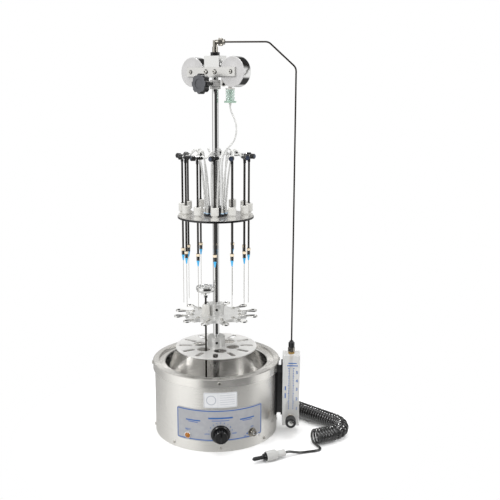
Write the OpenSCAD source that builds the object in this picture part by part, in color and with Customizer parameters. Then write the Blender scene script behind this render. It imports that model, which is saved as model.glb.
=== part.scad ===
// Nitrogen sample evaporator: a heated water bath with a post that carries a slotted
// plate, a ring of sample places and a sliding gas manifold with twelve needles.
// Millimetres, +Z up, the control panel faces -Y, origin at the centre of the base.

/* [Bath] */
// Outer radius of the housing drum
housing_r = 127; // [122:1:130]
// Height of the housing drum
housing_h = 149; // [145:1:154]
// Thickness of the sheet metal
sheet_t = 1.5; // [1:0.25:2]
// How far the rim stands out past the housing
rim_overhang = 3.5; // [3:0.5:5]
// Height of the rim's outer skirt
rim_skirt_h = 17; // [14:1:20]
// Width of the flat band on top of the rim
rim_band_w = 11.5; // [9:0.5:13]
// Drop from the band to the ledge inside it
ledge_drop = 4; // [3:0.5:6]
// Inner radius of the bath well
well_r = 105; // [98:1:108]
// Depth of the well below the top of the rim
well_depth = 100.5; // [92:0.5:103]
// Radius of the well's bottom corner
well_corner_r = 12; // [8:1:18]
// Diameter of the boss that holds the rod
boss_d = 30; // [24:1:36]
// Height of the boss
boss_h = 12; // [8:1:16]
// Height of the base pan's flange
pan_h = 16; // [13:1:20]

/* [Control panel] */
// Angle that the panel spans to each side of the front
panel_half_angle = 41; // [38:1:46]
// Height of the panel's lower edge
panel_z = 22.5; // [20:0.5:25]
// Height of the panel
panel_h = 65.5; // [58:0.5:72]
// Thickness of the panel
panel_t = 1.2; // [0.8:0.2:2]
// Height of the heat knob's centre
knob_z = 37; // [32:1:42]
// Diameter of the heat knob's skirt
knob_d = 35; // [30:1:40]
// Length of the heat knob
knob_l = 17; // [14:1:20]
// Diameter of the thermostat's shaft
shaft_d = 6; // [5:0.25:6.5]
// Angle of the pilot lamp from the front
lamp_angle = -29.5; // [-34:0.5:-26]
// Height of the pilot lamp and the switch
switch_z = 32; // [28:1:38]
// Diameter of the pilot lamp's lens
lamp_d = 11.5; // [9:0.5:13]
// Angle of the toggle switch from the front
toggle_angle = 29.5; // [26:0.5:34]
// Diameter of the toggle switch's bushing
toggle_bush_d = 12; // [11:0.5:13]
// Length of the toggle lever from its pivot
toggle_l = 18; // [14:1:21]

/* [Post] */
// Diameter of the centre rod
rod_d = 12.7; // [11:0.1:14]
// Height of the rod's top end
rod_top = 750; // [735:5:775]
// Height of the support plate's underside
plate_z = 174; // [168:1:180]
// Radius of the support plate
plate_r = 83.5; // [81:0.5:88]
// Thickness of the support plate
plate_t = 2; // [1.5:0.5:3]
// Width of the plate's slots
slot_w = 10.5; // [8:0.5:12]
// Diameter of the plate's round holes
hole_d = 27; // [24:0.5:28]
// Diameter of the support plate's hub
plate_hub_d = 36; // [32:1:38]
// Height of the support plate's hub
plate_hub_h = 21; // [16:1:24]
// Height of the sample holder's underside
holder_z = 239.5; // [230:0.5:246]
// Thickness of the sample holder
holder_t = 6; // [5:0.5:8]
// Radius of the sample holder's teeth
holder_r = 64; // [62:0.5:66]
// Radius of the notch that takes a sample tube
notch_r = 12.7; // [11:0.1:13.5]
// Diameter of the sample holder's hub
holder_hub_d = 33; // [28:1:35]
// Height of the sample holder's hub
holder_hub_h = 21.5; // [16:0.5:24]
// Height of a clip's spring strip
clip_h = 8; // [6:0.5:9]
// Radius of a clip's round tip
clip_tip_r = 7; // [5.5:0.5:7.5]
// Distance from the post to the centre of a clip's tip
clip_reach = 80; // [76:1:84]

/* [Thermometer] */
// Distance of the thermometer from the post
thermo_r = 27; // [26.5:0.5:29]
// Direction of the thermometer
thermo_az = -144.5; // [-150:0.5:-138]
// Diameter of the stem
stem_d = 3.8; // [3:0.1:4.5]
// Height of the stem's lower end
stem_tip_z = 100; // [85:1:130]
// Diameter of the dial
dial_d = 38.5; // [32:0.5:39.5]
// Thickness of the dial's case
dial_t = 9; // [7:0.5:11]
// Height of the dial's face
dial_top_z = 306; // [300:1:312]

/* [Manifold] */
// Height of the manifold disk's underside
disk_z = 444.5; // [430:0.5:455]
// Diameter of the manifold disk
disk_d = 152.4; // [148:0.2:160]
// Thickness of the manifold disk
disk_t = 4; // [3:0.5:6]
// Radius of the circle that the needles stand on
needle_circle_r = 66; // [65:0.5:67]
// Diameter of a collar's upper part
collar_d = 15.5; // [13:0.5:17]
// Height of a collar
collar_h = 25; // [20:0.5:28]
// Radius of the gas hub's lower tier
hub_r = 23.5; // [22.5:0.5:26]
// Height of the gas hub
hub_h = 17.5; // [15:0.5:20]
// Outer diameter of the clear gas tubing
tubing_d = 3.2; // [2.6:0.2:3.4]

/* [Needles] */
// Diameter of a needle's steel tube
tube_d = 4; // [3.5:0.1:4.5]
// Height of the valve axis above the manifold disk
valve_h = 118.5; // [112:0.5:124]
// Length of the steel tube below the disk
tube_drop = 62.5; // [56:0.5:68]
// Length of the white luer body
luer_l = 13.5; // [11:0.5:15]
// Length of the blue needle hub
needle_hub_l = 11.5; // [9:0.5:13]
// Length of the bare needle
needle_l = 89; // [80:1:100]
// Diameter of the bare needle
needle_d = 1.2; // [0.9:0.1:1.6]
// Angle between a valve's axis and the radius
valve_turn = 37; // [32:1:42]
// Diameter of a valve knob
valve_knob_d = 10; // [8:0.5:11]

/* [Head] */
// Width of the block on top of the rod
block_w = 38; // [36:1:40]
// Depth of the block
block_d = 22; // [20:1:24]
// Height of the block
block_h = 40; // [38:1:44]
// Length of the bars that carry the drums
bar_l = 120; // [116:1:124]
// Height of a bar
bar_h = 17; // [14:1:19]
// Thickness of a bar
bar_t = 4; // [3:0.5:5]
// Distance between the spring drums' axes
drum_spacing = 100; // [98:1:104]
// Diameter of a spring drum
drum_d = 57; // [50:1:58]
// Diameter of the clamp collar
clamp_d = 21; // [20:0.5:22]
// Height of the clamp collar
clamp_h = 17.3; // [14:0.5:20]
// Diameter of the star knob
star_d = 38; // [34:1:42]
// Distance from the rod to the star knob's centre
star_reach = 42; // [38:1:48]

/* [Gas supply] */
// Outer diameter of the steel gas line
line_d = 3.2; // [2.8:0.2:3.6]
// Distance of the upright gas line from the post
line_r = 156.5; // [154:0.5:160]
// Direction of the upright gas line
line_az = -15; // [-18:0.5:-12]
// Distance from the post where the gas line bends down
line_bend_r = 103; // [95:1:110]
// Drop of the line's slanted stretch
line_drop = 48; // [40:1:56]
// Width of the flowmeter block
meter_w = 35; // [33:0.5:37]
// Depth of the flowmeter block
meter_d = 32; // [29:0.5:34]
// Height of the flowmeter block's underside
meter_z = 17; // [15:0.5:19]
// Height of the flowmeter block
meter_h = 151; // [145:1:156]
// Turn of the flowmeter's face from the front
meter_turn = -8; // [-12:1:-4]
// Gap between the housing and the flowmeter block
meter_gap = 12; // [10:0.5:14]
// Diameter of the flow knob
flow_knob_d = 21; // [18:0.5:23]
// Diameter of the gauge tube's bore
gauge_d = 8; // [7:0.5:9]
// Thickness of the bracket's plates
bracket_t = 3; // [2:0.5:3.5]

/* [Hose] */
// Diameter of the recoil hose
hose_d = 4.8; // [4.6:0.1:4.9]
// Outer diameter of the coil
coil_d = 32; // [31.5:0.1:33]
// Diameter of the plug's large sleeve
plug_d = 19.5; // [18:0.5:19.5]
// Length of the whole plug
plug_l = 68; // [62:1:74]

/* [Hidden] */
$fn = 64;
needle_count = 12;
pitch_angle = 360 / needle_count;
needle_az = -95.2;
fit = 0.05;
seam = 0.02;
drill = 1;
screw_r = 2;

function place_az(k) = needle_az + k * pitch_angle;
function polar(r, az, z = 0) = [r * cos(az), r * sin(az), z];
function plan(az) = [cos(az), sin(az), 0];
function two(k) = str(k < 9 ? "0" : "", k + 1);
function needle_name(k) = str("needle_", two(k));
function valve_name(k) = str("valve_knob_", two(k));
places = [0:needle_count - 1];

// ---------------------------------------------------------------- shared shapes

// A ring standing on z = 0
module ring(h, r_out, r_in) {
    difference() {
        cylinder(h = h, r = r_out);
        translate([0, 0, -drill]) cylinder(h = h + 2 * drill, r = r_in);
    }
}

// Turns a child's +Z outward along the direction az, at the height z
module outward(az, z) {
    rotate([0, 0, az]) translate([0, 0, z]) rotate([0, 90, 0]) children();
}

// Turns a child's +Z to the front, from the depth y and the height z
module forward(y, z) {
    translate([0, y, z]) rotate([90, 0, 0]) children();
}

// A pan head screw, its head standing on z = 0 and its shank below
module screw(head_r, head_h, shank_l) {
    difference() {
        union() {
            cylinder(h = head_h * 0.5, r = head_r);
            translate([0, 0, head_h * 0.5]) cylinder(h = head_h * 0.5, r1 = head_r, r2 = head_r * 0.75);
            translate([0, 0, -shank_l]) cylinder(h = shank_l + head_h * 0.25, r = screw_r - fit);
        }
        translate([0, 0, head_h * 0.55]) cylinder(h = head_h, r = head_r * 0.42, $fn = 6);
    }
}

function arc(c, r, a0, a1, n) = [
    for (i = [0:n]) c + r * [cos(a0 + (a1 - a0) * i / n), sin(a0 + (a1 - a0) * i / n)]
];
function unit(v) = v / norm(v);
function bezier(a, b, c, d, t) =
    pow(1 - t, 3) * a + 3 * pow(1 - t, 2) * t * b + 3 * (1 - t) * t * t * c + pow(t, 3) * d;

// Sweeps a round tube along points, with a frame that doesn't twist
function tangent(p, i) = unit(p[min(i + 1, len(p) - 1)] - p[max(i - 1, 0)]);
function across(n, t) = unit(n - (n * t) * t);
function first_normal(t) = unit(cross(t, abs(t[2]) < 0.9 ? [0, 0, 1] : [1, 0, 0]));
function normals(p) = [
    for (i = 0, n = first_normal(tangent(p, 0)); i < len(p);
         i = i + 1, n = i < len(p) ? across(n, tangent(p, i)) : n) n
];
module swept_tube(p, d, sides) {
    n = normals(p);
    last = len(p) - 1;
    points = [
        for (i = [0:last]) let (b = cross(tangent(p, i), n[i])) for (k = [0:sides - 1])
            p[i] + d / 2 * (cos(360 * k / sides) * n[i] + sin(360 * k / sides) * b)
    ];
    walls = [
        for (i = [0:last - 1]) for (k = [0:sides - 1])
            let (a = i * sides + k, b = i * sides + (k + 1) % sides)
                each [[a, a + sides, b + sides], [a, b + sides, b]]
    ];
    caps = [
        for (k = [1:sides - 2])
            each [[0, k, k + 1], [last * sides, last * sides + k + 1, last * sides + k]]
    ];
    polyhedron(points = points, faces = concat(walls, caps));
}

// ---------------------------------------------------------------- bath

rim_r = housing_r + rim_overhang;
rim_top = housing_h + sheet_t;
ledge_r = rim_r - rim_band_w;
ledge_z = rim_top - ledge_drop;
well_z = rim_top - well_depth;
housing_in_r = housing_r - sheet_t;
panel_r = housing_r + fit;
panel_face_r = panel_r + panel_t;
front_az = -90;
lamp_az = front_az + lamp_angle;
toggle_az = front_az + toggle_angle;
low_screw_z = pan_h / 2;
low_screws = 8;
rim_screw_z = rim_top - 7.5;
rim_screws = 4;
rim_screw_az = -91;
rim_screw_head_r = 4;
low_screw_head_r = 3;
neck_r = 4.8;
lamp_barrel_r = lamp_d / 2 - 0.75;
heater_out_r = 88;
heater_in_r = 60;
heater_h = 8;
thermostat_r = 12;
thermostat_l = 20;
inlet_az = 90;
inlet_z = 40;
inlet_w = 27;
inlet_h = 20;

// A round hole through the housing and what lies on it
module wall_hole(az, z, r) {
    outward(az, z) translate([0, 0, housing_r - 12]) cylinder(h = 24, r = r);
}

module screw_holes() {
    for (i = [0:low_screws - 1]) wall_hole(front_az + i * 360 / low_screws, low_screw_z, screw_r);
    for (i = [0:rim_screws - 1]) wall_hole(rim_screw_az + i * 360 / rim_screws, rim_screw_z, screw_r);
}

module outer_housing() {
    color("#b6b3ad") difference() {
        ring(housing_h, housing_r, housing_in_r);
        screw_holes();
        wall_hole(front_az, knob_z, neck_r + fit);
        wall_hole(lamp_az, switch_z, lamp_barrel_r + fit);
        wall_hole(toggle_az, switch_z, toggle_bush_d / 2 + fit);
        outward(inlet_az, inlet_z) translate([0, 0, housing_in_r])
            cube([inlet_h + 2 * fit, inlet_w + 2 * fit, 20], center = true);
    }
}

// Rim, ledge and well as one deep drawn sheet
module bath_well() {
    t = sheet_t;
    edge = 1;
    corner = [well_r - well_corner_r, well_z + well_corner_r];
    skin = concat(
        [[rim_r, rim_top - rim_skirt_h], [rim_r, rim_top - edge], [rim_r - edge, rim_top]],
        [[ledge_r, rim_top], [ledge_r - 1, ledge_z]],
        [[well_r + t, ledge_z], [well_r, ledge_z - t]],
        arc(corner, well_corner_r, 0, -90, 8), [[0, well_z]]
    );
    back = concat(
        [[0, well_z - t]], arc(corner, well_corner_r + t, -90, 0, 8),
        [[well_r + t, ledge_z - t], [ledge_r - 1 + t, ledge_z - t], [ledge_r + t, housing_h]],
        [[rim_r - t, housing_h], [rim_r - t, rim_top - rim_skirt_h]]
    );
    color("#a9a6a0") difference() {
        union() {
            rotate_extrude($fn = 128) polygon(concat(skin, back));
            translate([0, 0, well_z - 0.5]) cylinder(h = boss_h - 0.5, d = boss_d);
            translate([0, 0, well_z + boss_h - 1]) cylinder(h = 1, d1 = boss_d, d2 = boss_d - 2);
        }
        translate([0, 0, well_z]) cylinder(h = boss_h + drill, d = rod_d + 2 * fit);
        screw_holes();
    }
}

module base_pan() {
    pan_r = housing_in_r - 2 * fit;
    color("#8f8d89") difference() {
        cylinder(h = pan_h, r = pan_r);
        translate([0, 0, sheet_t]) cylinder(h = pan_h, r = pan_r - sheet_t);
        screw_holes();
        // ring of vents round the middle
        for (i = [0:11]) rotate([0, 0, i * 30 + 15]) translate([45, 0, -drill])
            cylinder(h = sheet_t + 2 * drill, r = 4);
    }
}

// Curved sheet with rounded corners that follows the housing
module control_panel() {
    corner = 5;
    half_w = panel_r * sin(panel_half_angle);
    color("#a4a29e") difference() {
        intersection() {
            translate([0, 0, panel_z]) ring(panel_h, panel_face_r, panel_r);
            translate([0, 0, panel_z]) forward(0, 0) linear_extrude(2 * housing_r) {
                translate([-half_w, corner]) square([2 * half_w, panel_h - 2 * corner]);
                translate([corner - half_w, 0]) square([2 * (half_w - corner), panel_h]);
                for (x = [corner - half_w, half_w - corner]) for (z = [corner, panel_h - corner])
                    translate([x, z]) circle(r = corner);
            }
        }
        wall_hole(front_az, knob_z, neck_r + fit);
        wall_hole(lamp_az, switch_z, lamp_barrel_r + fit);
        wall_hole(toggle_az, switch_z, toggle_bush_d / 2 + fit);
    }
}

module pilot_lamp() {
    flange_t = 1.2;
    seat = panel_face_r + fit;
    outward(lamp_az, switch_z) {
        color("#c9c6c0") difference() {
            union() {
                translate([0, 0, seat]) cylinder(h = flange_t, r = lamp_d / 2 + 1.2);
                translate([0, 0, housing_r - 16]) cylinder(h = 16 + flange_t, r = lamp_barrel_r);
            }
            translate([0, 0, seat + flange_t - 0.8]) cylinder(h = 5, r = lamp_d / 2 - 0.4);
        }
        color("#d9892b") translate([0, 0, seat + flange_t - 0.8 + seam]) {
            cylinder(h = 2, r = lamp_d / 2 - 0.4 - fit);
            translate([0, 0, 2]) intersection() {
                translate([0, 0, -6]) sphere(r = 8);
                cylinder(h = 4, r = lamp_d / 2 - 0.4 - fit);
            }
        }
    }
}

knob_seat = panel_face_r + 0.4;
shaft_end = knob_seat + knob_l * 0.7;
module heat_knob() {
    skirt_h = 3;
    cap_r = knob_d * 0.37;
    flutes = 16;
    color("#1d1d1e") outward(front_az, knob_z) translate([0, 0, knob_seat]) difference() {
        union() {
            cylinder(h = skirt_h * 0.5, d = knob_d);
            translate([0, 0, skirt_h * 0.5]) cylinder(h = skirt_h * 0.5, d1 = knob_d, d2 = knob_d - 3);
            translate([0, 0, skirt_h]) cylinder(h = knob_l - skirt_h - 1, r1 = cap_r + 0.6, r2 = cap_r);
            translate([0, 0, knob_l - 1]) cylinder(h = 1, r1 = cap_r, r2 = cap_r - 1);
        }
        for (i = [0:flutes - 1]) rotate([0, 0, i * 360 / flutes])
            translate([cap_r + 1.1, 0, skirt_h]) cylinder(h = knob_l, r = 1.7);
        translate([0, 0, -drill]) cylinder(h = drill + knob_l * 0.7 + 0.3, d = shaft_d + 2 * fit);
        translate([0, 0, -drill]) cylinder(h = drill + 1.5, r = neck_r + 0.6);
        translate([0, 0, knob_l - 0.8]) cylinder(h = 1, r = cap_r - 3);
    }
}

module heater_unit() {
    heater_z = well_z - sheet_t - heater_h;
    body_face = housing_in_r - 0.8;
    // ring heater pressed against the underside of the well
    color("#6f6a62") translate([0, 0, heater_z]) ring(heater_h, heater_out_r, heater_in_r);
    // thermostat with its threaded neck and its shaft
    color("#7d7a74") outward(front_az, knob_z) {
        translate([0, 0, body_face - thermostat_l]) cylinder(h = thermostat_l, r = thermostat_r);
        translate([0, 0, body_face]) cylinder(h = knob_seat + 1 - body_face, r = neck_r);
        translate([0, 0, body_face]) cylinder(h = shaft_end - body_face, d = shaft_d);
    }
    // mains inlet in the back wall
    color("#232324") outward(inlet_az, inlet_z) translate([0, 0, housing_r - 22]) difference() {
        union() {
            translate([-inlet_h / 2, -inlet_w / 2, 0]) cube([inlet_h, inlet_w, 24]);
            translate([-inlet_h / 2 - 3, -inlet_w / 2 - 3, 22.2]) cube([inlet_h + 6, inlet_w + 6, 2]);
        }
        translate([-inlet_h / 2 + 3, -inlet_w / 2 + 3, 9]) cube([inlet_h - 6, inlet_w - 6, 20]);
    }
}

toggle_pivot = panel_face_r + 6;
toggle_rest = 12;
toggle_ball_r = toggle_bush_d / 2 - 2.1;
module toggle_bushing() {
    mouth = toggle_pivot + 2.5;
    color("#d2d0cb") outward(toggle_az, switch_z) difference() {
        union() {
            translate([0, 0, housing_in_r - 1]) cylinder(h = mouth - housing_in_r + 1, d = toggle_bush_d);
            translate([0, 0, panel_face_r + fit]) cylinder(h = 2, d = toggle_bush_d + 4.5, $fn = 6);
            translate([-7, -11, housing_in_r - 22]) cube([14, 22, 21]);
        }
        translate([0, 0, toggle_pivot - toggle_ball_r - 1])
            cylinder(h = 20, r = toggle_ball_r + 0.1);
    }
}

// Bat lever, at rest tilted up
module toggle_lever() {
    color("#dad8d4") outward(toggle_az, switch_z) translate([0, 0, toggle_pivot])
        rotate([0, -toggle_rest, 0]) {
            sphere(r = toggle_ball_r);
            cylinder(h = toggle_l - 2.6, r1 = 1.6, r2 = 2.6);
            translate([0, 0, toggle_l - 2.6]) sphere(r = 2.6);
        }
}

// ---------------------------------------------------------------- post

// Rod with a chamfer at each end
module center_rod() {
    bevel = 1;
    color("#c6c4bf") translate([0, 0, well_z]) {
        cylinder(h = bevel, d1 = rod_d - 2 * bevel, d2 = rod_d);
        translate([0, 0, bevel]) cylinder(h = rod_top - well_z - 2 * bevel, d = rod_d);
        translate([0, 0, rod_top - well_z - bevel]) cylinder(h = bevel, d1 = rod_d, d2 = rod_d - 2 * bevel);
    }
}

// Hub with a set screw that faces the front, its bore running on the rod
set_screw_r = 2.7;
module clamped_hub(d, h) {
    translate([0, 0, 0]) cylinder(h = h - 1, d = d);
    translate([0, 0, h - 1]) cylinder(h = 1, d1 = d, d2 = d - 2);
}
module rod_bore(z, h) {
    translate([0, 0, z - drill]) cylinder(h = h + 2 * drill, d = rod_d + 2 * fit);
}
module set_screw(hub_d, z) {
    outward(front_az, z) difference() {
        translate([0, 0, rod_d / 2 + 0.3]) cylinder(h = hub_d / 2 - rod_d / 2 - 1.3, r = set_screw_r - fit);
        translate([0, 0, hub_d / 2 - 3]) cylinder(h = 4, r = 1.3, $fn = 6);
    }
}
module set_screw_hole(hub_d, z) {
    outward(front_az, z) cylinder(h = hub_d, r = set_screw_r);
}

slot_in = needle_circle_r - 17;
slot_out = needle_circle_r + 11;
hole_r = 35;
module support_plate() {
    screw_z = plate_z + plate_t + plate_hub_h / 2;
    color("#bdbab5") difference() {
        union() {
            translate([0, 0, plate_z]) cylinder(h = plate_t, r = plate_r, $fn = 128);
            translate([0, 0, plate_z + plate_t]) clamped_hub(plate_hub_d, plate_hub_h);
        }
        rod_bore(plate_z, plate_t + plate_hub_h);
        set_screw_hole(plate_hub_d, screw_z);
        for (k = places) rotate([0, 0, place_az(k)]) translate([0, 0, plate_z - drill]) {
            for (r = [slot_in + slot_w / 2, slot_out - slot_w / 2]) translate([r, 0, 0])
                cylinder(h = plate_t + 2 * drill, d = slot_w);
            translate([slot_in + slot_w / 2, -slot_w / 2, 0])
                cube([slot_out - slot_in - slot_w, slot_w, plate_t + 2 * drill]);
        }
        for (k = [0:2:needle_count - 1]) rotate([0, 0, place_az(k) + pitch_angle / 2])
            translate([hole_r, 0, plate_z - drill]) cylinder(h = plate_t + 2 * drill, d = hole_d);
    }
    color("#55534f") set_screw(plate_hub_d, screw_z);
}

holder_top = holder_z + holder_t;
clip_az = pitch_angle / 2;
clip_screw_r = holder_r - 14;
bushing_bore_r = stem_d / 2 + fit;
spigot_r = 5;
module sample_holder() {
    screw_z = holder_top + holder_hub_h / 2;
    color("#e4e2dc") difference() {
        union() {
            translate([0, 0, holder_z]) cylinder(h = holder_t, r = holder_r, $fn = 128);
            translate([0, 0, holder_top]) clamped_hub(holder_hub_d, holder_hub_h);
        }
        rod_bore(holder_z, holder_t + holder_hub_h);
        set_screw_hole(holder_hub_d, screw_z);
        for (k = places) translate(polar(needle_circle_r, place_az(k), holder_z - drill))
            cylinder(h = holder_t + 2 * drill, r = notch_r);
        for (k = places) translate(polar(clip_screw_r, place_az(k) + clip_az, holder_z + 1))
            cylinder(h = holder_t, r = screw_r);
        translate(polar(thermo_r, thermo_az, holder_z - drill))
            cylinder(h = holder_t + 2 * drill, r = spigot_r + fit);
    }
    color("#55534f") set_screw(holder_hub_d, screw_z);
}

// Teardrop outline round a small root and a large tip, both on the X axis
function teardrop(root_x, root_r, tip_x, tip_r) =
    let (lean = asin((tip_r - root_r) / (tip_x - root_x)))
        concat(
            arc([tip_x, 0], tip_r, -90 - lean, 90 + lean, 12),
            arc([root_x, 0], root_r, 90 + lean, 270 - lean, 4)
        );

// One spring strip bent into a loop, its tab screwed down on a tooth
clip_t = 0.6;
module clip() {
    root_r = 1.5;
    root_x = holder_r + root_r + 0.2;
    tab_x = clip_screw_r - 4;
    translate([0, 0, holder_top - clip_h + 2.5]) linear_extrude(clip_h) difference() {
        polygon(teardrop(root_x, root_r, clip_reach, clip_tip_r));
        polygon(teardrop(root_x, root_r - clip_t, clip_reach, clip_tip_r - clip_t));
    }
    translate([tab_x, -2.5, holder_top]) difference() {
        cube([root_x - root_r + clip_t / 2 - tab_x, 5, clip_t]);
        translate([clip_screw_r - tab_x, 2.5, -drill]) cylinder(h = 3, r = screw_r);
    }
}
module holder_clips() {
    for (k = places) rotate([0, 0, place_az(k) + clip_az]) {
        color("#d3d1cc") clip();
        color("#b2afa9") translate([clip_screw_r, 0, holder_top + clip_t + seam]) screw(3.2, 2, 4);
    }
}

module at_thermometer(z) {
    translate(polar(thermo_r, thermo_az, z)) children();
}
module thermometer_bushing() {
    color("#eeece6") at_thermometer(holder_top) difference() {
        union() {
            translate([0, 0, -holder_t]) cylinder(h = holder_t + 1, r = spigot_r);
            cylinder(h = 7, r = 8.75);
            translate([0, 0, 7]) cylinder(h = 14, r1 = 8.2, r2 = 7.4);
            translate([0, 0, 21]) cylinder(h = 3, r1 = 7.4, r2 = 5.2);
        }
        translate([0, 0, -holder_t - drill]) cylinder(h = 40, r = bushing_bore_r);
    }
}
module thermometer() {
    cone_h = 14;
    face_recess = 1;
    dial_bottom = dial_top_z - dial_t;
    color("#c9c7c2") at_thermometer(0) {
        translate([0, 0, stem_tip_z]) cylinder(h = 6, d1 = 1.4, d2 = stem_d);
        translate([0, 0, stem_tip_z + 6])
            cylinder(h = dial_bottom - cone_h - stem_tip_z - 5, d = stem_d);
        translate([0, 0, dial_bottom - cone_h]) cylinder(h = 5, r = 3.6, $fn = 6);
        translate([0, 0, dial_bottom - cone_h + 5]) cylinder(h = cone_h - 5, r1 = 3.4, r2 = dial_d * 0.36);
        translate([0, 0, dial_bottom]) difference() {
            union() {
                cylinder(h = dial_t * 0.4, d1 = dial_d - 3, d2 = dial_d - 1.5);
                translate([0, 0, dial_t * 0.4]) cylinder(h = dial_t * 0.6 - 0.6, d = dial_d);
                translate([0, 0, dial_t - 0.6]) cylinder(h = 0.6, d1 = dial_d, d2 = dial_d - 1.2);
            }
            translate([0, 0, dial_t - face_recess]) cylinder(h = 2, d = dial_d - 4);
        }
    }
}

// ---------------------------------------------------------------- manifold

disk_top = disk_z + disk_t;
hub_az_shift = 10;
hub_barb_r = hub_r - 2.5;
hub_top = disk_top + hub_h;
centre_barb = [12.8, -2.3];
module manifold_disk() {
    color("#242425") difference() {
        union() {
            translate([0, 0, disk_z]) cylinder(h = 0.5, d1 = disk_d - 1, d2 = disk_d, $fn = 128);
            translate([0, 0, disk_z + 0.5]) cylinder(h = disk_t - 1, d = disk_d, $fn = 128);
            translate([0, 0, disk_top - 0.5]) cylinder(h = 0.5, d1 = disk_d, d2 = disk_d - 1, $fn = 128);
        }
        rod_bore(disk_z, disk_t);
        for (k = places) translate(polar(needle_circle_r, place_az(k), disk_z - drill))
            cylinder(h = disk_t + 2 * drill, d = tube_d + 1);
    }
}

// Two black tiers with a white barb for each tube and one for the supply
module barb(h, r) {
    cylinder(h = h * 0.55, r = r);
    translate([0, 0, h * 0.55]) cylinder(h = h * 0.45, r1 = r * 0.8, r2 = r * 0.5);
}
module gas_hub() {
    tier_h = 5;
    upper_r = hub_r - 4.5;
    color("#2a2a2b") difference() {
        union() {
            translate([0, 0, disk_top]) cylinder(h = tier_h, r = hub_r);
            translate([0, 0, disk_top + tier_h]) cylinder(h = hub_h - tier_h - 1, r = upper_r);
            translate([0, 0, hub_top - 1]) cylinder(h = 1, r1 = upper_r, r2 = upper_r - 1);
            for (k = places) translate(polar(hub_barb_r, place_az(k) + hub_az_shift, disk_top + tier_h - 0.5))
                barb(hub_h - tier_h + 1.5, 2.6);
            translate([centre_barb[0], centre_barb[1], hub_top - 0.5]) barb(5, 2.4);
        }
        rod_bore(disk_top, hub_h);
    }
}

module needle_collars() {
    flange_h = 4.5;
    neck_h = 4.5;
    color("#f0eeea") for (k = places) translate(polar(needle_circle_r, place_az(k), disk_top)) difference() {
        union() {
            cylinder(h = flange_h, d = collar_d + 0.5);
            translate([0, 0, flange_h]) cylinder(h = neck_h, d = collar_d - 5.5);
            translate([0, 0, flange_h + neck_h]) cylinder(h = 0.8, d1 = collar_d - 1.6, d2 = collar_d);
            translate([0, 0, flange_h + neck_h + 0.8])
                cylinder(h = collar_h - flange_h - neck_h - 1.6, d = collar_d);
            translate([0, 0, collar_h - 0.8]) cylinder(h = 0.8, d1 = collar_d, d2 = collar_d - 1.6);
        }
        translate([0, 0, -drill]) cylinder(h = collar_h + 2 * drill, d = tube_d + 2 * fit);
    }
}

// Needle heights, from the tip up
tube_low = disk_z - tube_drop;
luer_low = tube_low - luer_l;
hub_low = luer_low - needle_hub_l;
tip_z = hub_low - needle_l;
valve_z = disk_top + valve_h;
boss_z = valve_z - 11;
valve_body_r = 3.2;
barb_reach = 15;
spindle_r = 1.3;
knob_base = 3.2;

// Frame of a valve, its +Z pointing out along the knob's axis
module at_valve(k) {
    translate(polar(needle_circle_r, place_az(k), valve_z))
        rotate([0, 0, place_az(k) - valve_turn]) rotate([0, 90, 0]) children();
}
module needle(k) {
    translate(polar(needle_circle_r, place_az(k))) {
        color("#c9c7c2") translate([0, 0, tube_low]) cylinder(h = boss_z - tube_low, d = tube_d);
        color("#ece8dc") translate([0, 0, luer_low]) {
            translate([0, 0, seam]) cylinder(h = luer_l - 5, r1 = 3.0, r2 = 3.3);
            translate([0, 0, luer_l - 5]) cylinder(h = 5 - seam, r = 4);
        }
        color("#7fb4d8") translate([0, 0, hub_low]) {
            cylinder(h = needle_hub_l * 0.6, r1 = 1.3, r2 = 2.2);
            translate([0, 0, needle_hub_l * 0.6]) cylinder(h = needle_hub_l * 0.2, r = 2.4);
            translate([0, 0, needle_hub_l * 0.8]) cylinder(h = needle_hub_l * 0.2, r = 3.0);
            translate([0, 0, -needle_l]) cylinder(h = needle_l + 1, d = needle_d);
        }
    }
    color("#1f1f20") difference() {
        union() {
            translate(polar(needle_circle_r, place_az(k), boss_z + seam)) {
                cylinder(h = 6, r = 2.75);
                cylinder(h = 11 - seam, r = 2.1);
            }
            at_valve(k) {
                translate([0, 0, -10]) cylinder(h = 10 + knob_base - 0.2, r = valve_body_r);
                translate([0, 0, -barb_reach]) cylinder(h = 6, r = 1.3);
                translate([0, 0, -barb_reach]) cylinder(h = 2.5, r1 = 1.2, r2 = 1.8);
                translate([0, 0, -12]) cylinder(h = 3, r1 = 1.4, r2 = 2.2);
            }
        }
        at_valve(k) translate([0, 0, -4]) cylinder(h = 10, r = spindle_r);
    }
}
module valve_knob(k) {
    knob_l = 10.5;
    grips = 12;
    color("#3a3d42") at_valve(k) {
        translate([0, 0, -3.5]) cylinder(h = 4 + knob_base, r = spindle_r - fit);
        translate([0, 0, knob_base]) cylinder(h = 1.6, d = valve_knob_d - 2);
        translate([0, 0, knob_base + 1.5]) difference() {
            union() {
                cylinder(h = knob_l - 2.7, d = valve_knob_d);
                translate([0, 0, knob_l - 2.7]) cylinder(h = 1.2, d1 = valve_knob_d, d2 = valve_knob_d - 2);
            }
            for (i = [0:grips - 1]) rotate([0, 0, i * 360 / grips])
                translate([valve_knob_d / 2 + 0.45, 0, 1]) cylinder(h = knob_l, r = 0.8, $fn = 24);
        }
    }
}

// Clear tubing: a loop from each valve to the hub
loop_rings = 14;
tube_gap = 0.3;
function loop_route(k) =
    let (
        aim = plan(place_az(k) - valve_turn),
        start = polar(needle_circle_r, place_az(k), valve_z) - (barb_reach + tube_gap) * aim,
        finish = polar(hub_barb_r, place_az(k) + hub_az_shift, hub_top + 1 + tube_gap),
        a = start - tubing_d * aim,
        d = finish + [0, 0, tubing_d],
        b = a - 18 * aim + [0, 0, 26],
        c = d + [0, 0, valve_z - hub_top + 29]
    )
        concat([start], [for (i = [0:loop_rings]) bezier(a, b, c, d, i / loop_rings)], [finish]);
// ---------------------------------------------------------------- head

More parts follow.
